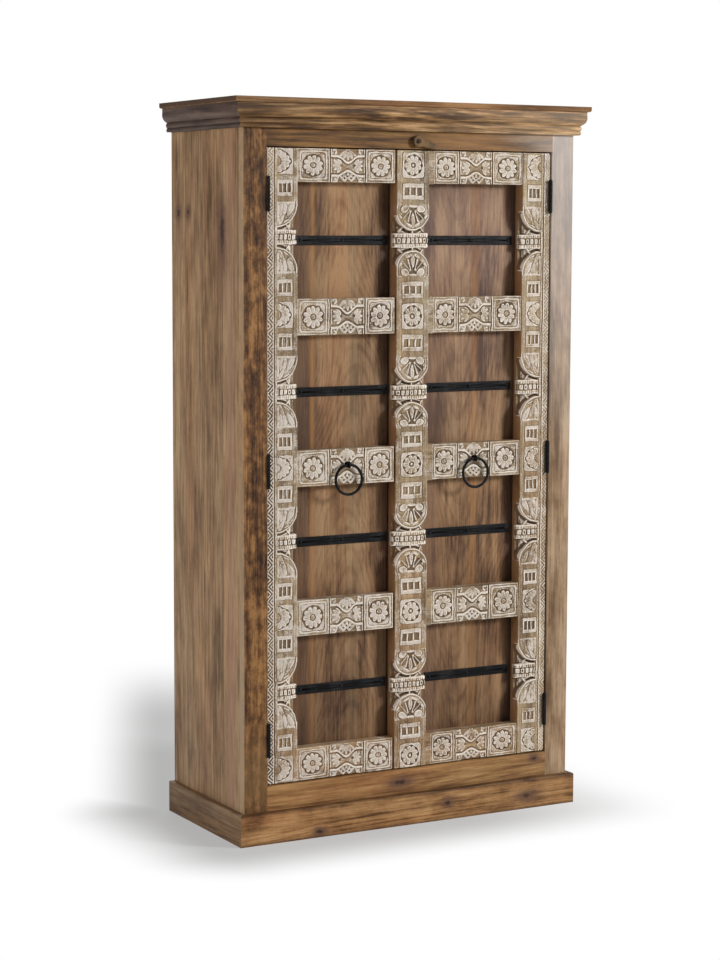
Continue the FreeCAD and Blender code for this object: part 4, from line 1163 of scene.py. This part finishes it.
def paint_carcass():
    """The sides, the face frame, the cornice and the plinth."""
    dress(wood("side_wood", "Z", SIDE_TONES, boards=SIDE_SEAMS, knots=SIDE_KNOTS, seed=1,
               stains_and_painted_light=SIDE_STAINS, **SIDE_LOOK), "left_side_panel")
    dress(wood("side_wood_right", "Z", SIDE_TONES, boards=SIDE_SEAMS, seed=2, **SIDE_LOOK),
          "right_side_panel")
    dress(wood("frame_wood_left", "Z", LEFT_STILE_TONES, seed=3, figure=0.1, cloudy=1.8,
               streaky=1.4, blotch=64.0, tint=0.15, stains_and_painted_light=LEFT_STILE_STAINS_AND_HIGHLIGHT), "frame_left_stile")
    # The right stile's pale tones and its lift towards the top stand partly for painted light
    dress(wood("frame_wood_right", "Z", RIGHT_STILE_TONES, seed=4, streaky=2.2, cloudy=1.5,
               blotch=16.0, tint=0.3, bleach_and_light=("Z", 1.0, 2.0, PALE_PAINTED_LIGHT)), "frame_right_stile")
    dress(wood("frame_wood_top", "X", TOP_RAIL_TONES, seed=5, tint=0.4, stranded=1.4,
               stains_and_painted_light=TOP_RAIL_STAINS, bleach_and_light=("X", 0.42, 0.72, FADED)), "frame_top_rail")
    dress(wood("frame_wood_bottom", "X", BOTTOM_RAIL_TONES, seed=6, knots=RAIL_KNOTS),
          "frame_bottom_rail")
    dress(wood("cornice_wood", "X", CORNICE_TONES, seed=7, streaky=1.2, cloudy=0.9, stranded=2.2,
               bleach_and_light=("X", 0.1, 0.75, SUNNED), stains_and_painted_light=CORNICE_STAINS), "cornice_front_moulding")
    dress(wood("cornice_wood_top", "X", CORNICE_TOP_TONES, 0.8, seed=18, ends=("X", DARK_ENDS)),
          "cornice_top_board")
    dress(wood("cornice_wood_sides", "Y", CORNICE_SIDE_TONES, seed=8), "cornice_left_moulding",
          "cornice_right_moulding")
    dress(wood("plinth_wood", "X", PLINTH_TONES, seed=9, knots=PLINTH_KNOTS, cloudy=1.8,
               stains_and_painted_light=PLINTH_STAINS), "plinth_front_board")
    dress(wood("plinth_wood_sides", "Y", PLINTH_SIDE_TONES, seed=10), "plinth_left_board",
          "plinth_right_board")


def paint_panels():
    dress(wood("panel_wood_left", "Z", PANEL_TONES, seed=11, flame=LEFT_FLAME,
               stains_and_painted_light=LEFT_PANEL_STAINS_AND_SHADE, **PANEL_LOOK), "left_door_panel")
    dress(wood("panel_wood_right", "Z", PANEL_TONES, seed=12, flame=RIGHT_FLAME,
               bleach_and_light=("Z", 1.1, 1.9, HAZE), stains_and_painted_light=RIGHT_PANEL_STAINS_AND_SHADE, **PANEL_LOOK),
          "right_door_panel")


def paint_inside():
    dress(wood("inner_wood_back", "Z", INNER_TONES, boards=BACK_SEAMS, seed=13), "back_boards")
    dress(wood("inner_wood", "X", INNER_TONES, seed=14), "floor_board", "ceiling_board",
          "lower_shelf", "middle_shelf", "upper_shelf", "base_back_rail", "door_stop",
          "base_glue_blocks")
    dress(wood("inner_wood_cleats", "Y", INNER_TONES, seed=15), "shelf_cleats")


def paint_irons():
    black = iron("black_iron", srgb(8, 8, 10), srgb(36, 35, 37), 0.5, 0.05)
    dress(black, "hinge_frame_leaves", "hinge_pins")
    for side in ("left", "right"):
        dress(black, side + "_door_straps", side + "_strap_nails", side + "_ring_staple",
              side + "_ring", side + "_hinge_leaves")
    rusty = iron("rusty_iron", srgb(86, 70, 50), srgb(124, 96, 64), 0.6, 0.2)
    dress(rusty, "turn_latch", "latch_washer")
    dress(iron("dull_iron", srgb(48, 40, 36), srgb(86, 68, 54), 0.6, 0.3), "latch_screw")
    steel = iron("screw_steel", srgb(120, 118, 112), srgb(92, 84, 74), 0.42, 0.8)
    dress(steel, "cleat_screws", "hinge_frame_screws", "left_hinge_screws",
          "right_hinge_screws")


def build_doors():
    """The carved stiles and rails, with their two woods."""
    upright, level = carved_wood("Z", 16), carved_wood("X", 17)
    left = side_stile("left", -1, 1.0, LEFT_DRIFT, LEFT_WORN)
    right = side_stile("right", 1, 0.5, RIGHT_DRIFT, RIGHT_WORN)
    for stile in (left, right, centre_stile(CENTRE_DRIFT, CENTRE_WORN)):
        stile.data.materials.append(upright)
    for step, (left_worn, right_worn) in enumerate(RAIL_WORN):
        for rail in (carved_rail("left", -1, step, left_worn),
                     carved_rail("right", 1, step, right_worn)):
            rail.data.materials.append(level)
    dress(level, "centre_end_blocks")


# Floor, light and camera

WHITE = (1, 1, 1, 1)
PAPER = (0.8, 0.8, 0.8, 1)
FLOOR_HALF = 30
FLOOR_TINT = (0.28, 0.28, 0.28, 1)
FLOOR_GLOW = 0.335
BASE_HALF_X = 0.5
BASE_HALF_Y = 0.205
SHADOW_START = 0.03
SHADOW_END = 0.30
LIT_SIDE = (0.1, 0.9)
VIEW_X = 0.4
VIEW_Y = 0.917
BACK_SHADE_LEFT = (0.54, 0.76)
BACK_SHADE_AHEAD = (1.1, 2.15)
SKY_LEVEL = 0.185

# Lamps: name, place, size and power
LAMPS = (("key", (4.6, -4.2, 2.9), 1.3, 370), ("fill", (-5.0, -0.5, 1.9), 2.0, 118),
         ("back", (2.0, 5.0, 2.6), 2.5, 90))
LAMP_TARGET = Vector((0, 0, 0.9))

CAMERA_PLACE = (-2.9108, -5.1558, 1.4997)
CAMERA_YAW = 0.5071
CAMERA_PITCH = 0.1088
CAMERA_ROLL = 0.0035
CAMERA_LENS = 87.386
SENSOR = 36.0
CLIP_END = 200


def shadow_share(shader):
    """How much of the lit floor shows at a place, before it fades to plain white."""
    parts = shader.parts(shader.place)
    over_x = shader.math("SUBTRACT", shader.math("ABSOLUTE", parts["X"]), BASE_HALF_X)
    over_y = shader.math("SUBTRACT", shader.math("ABSOLUTE", parts["Y"]), BASE_HALF_Y)
    outward = shader.joined(shader.math("MAXIMUM", over_x), shader.math("MAXIMUM", over_y))
    around = shader.fit(shader.vector("LENGTH", outward), SHADOW_END, SHADOW_START)
    around = shader.times(around, shader.fit(parts["X"], LIT_SIDE[1], LIT_SIDE[0]))
    left = shader.times(parts["X"], -VIEW_Y)
    left = shader.math("MULTIPLY_ADD", parts["Y"], VIEW_X, left)
    ahead = shader.times(parts["X"], VIEW_X)
    ahead = shader.math("MULTIPLY_ADD", parts["Y"], VIEW_Y, ahead)
    behind = shader.fit(left, BACK_SHADE_LEFT[1], BACK_SHADE_LEFT[0])
    behind = shader.times(behind, shader.fit(left, -0.3, 0.0))
    behind = shader.times(behind, shader.fit(ahead, -0.35, 0.0))
    far = shader.fit(ahead, BACK_SHADE_AHEAD[1], BACK_SHADE_AHEAD[0])
    return shader.math("MAXIMUM", around, shader.times(behind, far))


def paint_floor():
    """White paper: seen directly, it is lit only near the cabinet."""
    shader = Shader("floor_paper")
    paper = shader.node("BsdfDiffuse", {"Color": PAPER})[0]
    seen = shader.node("BsdfDiffuse", {"Color": FLOOR_TINT})[0]
    glow = shader.node("Emission", {"Color": WHITE, "Strength": FLOOR_GLOW})[0]
    near = shader.node("AddShader", {0: seen, 1: glow})[0]
    white = shader.node("Emission", {"Color": WHITE, "Strength": 1.0})[0]
    both = shader.blended(shadow_share(shader), white, near)
    path = shader.node("LightPath")
    direct = shader.math("MAXIMUM", path["Is Camera Ray"], path["Is Glossy Ray"])
    direct = shader.math("MAXIMUM", direct, path["Is Transmission Ray"])
    shader.node("OutputMaterial", {0: shader.blended(direct, paper, both)})
    return shader.material


def add_floor():
    corners = [(x * FLOOR_HALF, y * FLOOR_HALF, 0)
               for x, y in ((-1, -1), (1, -1), (1, 1), (-1, 1))]
    mesh = bpy.data.meshes.new("floor")
    mesh.from_pydata(corners, [], [(0, 1, 2, 3)])
    link("floor", mesh)
    mesh.materials.append(paint_floor())


def add_world():
    """A dim grey sky that looks white to the camera."""
    world = bpy.data.worlds.new("studio")
    bpy.context.scene.world = world
    nodes = Nodes(world)
    light = nodes.node("Background", {"Color": WHITE, "Strength": SKY_LEVEL})[0]
    white = nodes.node("Background", {"Color": WHITE})[0]
    path = nodes.node("LightPath")
    direct = nodes.math("MAXIMUM", path["Is Camera Ray"], path["Is Transmission Ray"])
    nodes.node("OutputWorld", {0: nodes.blended(direct, light, white)})


def add_lamps():
    for name, place, size, power in LAMPS:
        data = bpy.data.lights.new(name, "AREA")
        data.shape = "RECTANGLE"
        data.size = data.size_y = size
        data.energy = power
        lamp = link(name, data)
        lamp.location = place
        lamp.rotation_mode = "QUATERNION"
        lamp.rotation_quaternion = (LAMP_TARGET - Vector(place)).to_track_quat("-Z", "Y")


def add_camera():
    """The photograph's camera: level and looking along Y before its turns."""
    data = bpy.data.cameras.new("camera")
    data.lens = CAMERA_LENS
    data.sensor_width = SENSOR
    data.clip_end = CLIP_END
    camera = link("camera", data)
    turns = ((-CAMERA_YAW, "Z"), (math.pi / 2 - CAMERA_PITCH, "X"), (CAMERA_ROLL, "Z"))
    matrix = Matrix.Translation(CAMERA_PLACE)
    for angle, axis in turns:
        matrix = matrix @ Matrix.Rotation(angle, 4, axis)
    camera.matrix_world = matrix
    bpy.context.scene.camera = camera


BOARDS = ("left_side_panel", "right_side_panel", "frame_left_stile", "frame_right_stile",
          "frame_top_rail", "frame_bottom_rail", "plinth_front_board", "plinth_left_board",
          "plinth_right_board", "centre_end_blocks")

build_doors()
paint_carcass()
paint_panels()
paint_inside()
paint_irons()
soften(0.0009, *BOARDS)
soften(0.0007, "left_door_straps", "right_door_straps")
add_floor()
add_world()
add_lamps()
add_camera()

bpy.context.scene.view_settings.view_transform = "Standard"
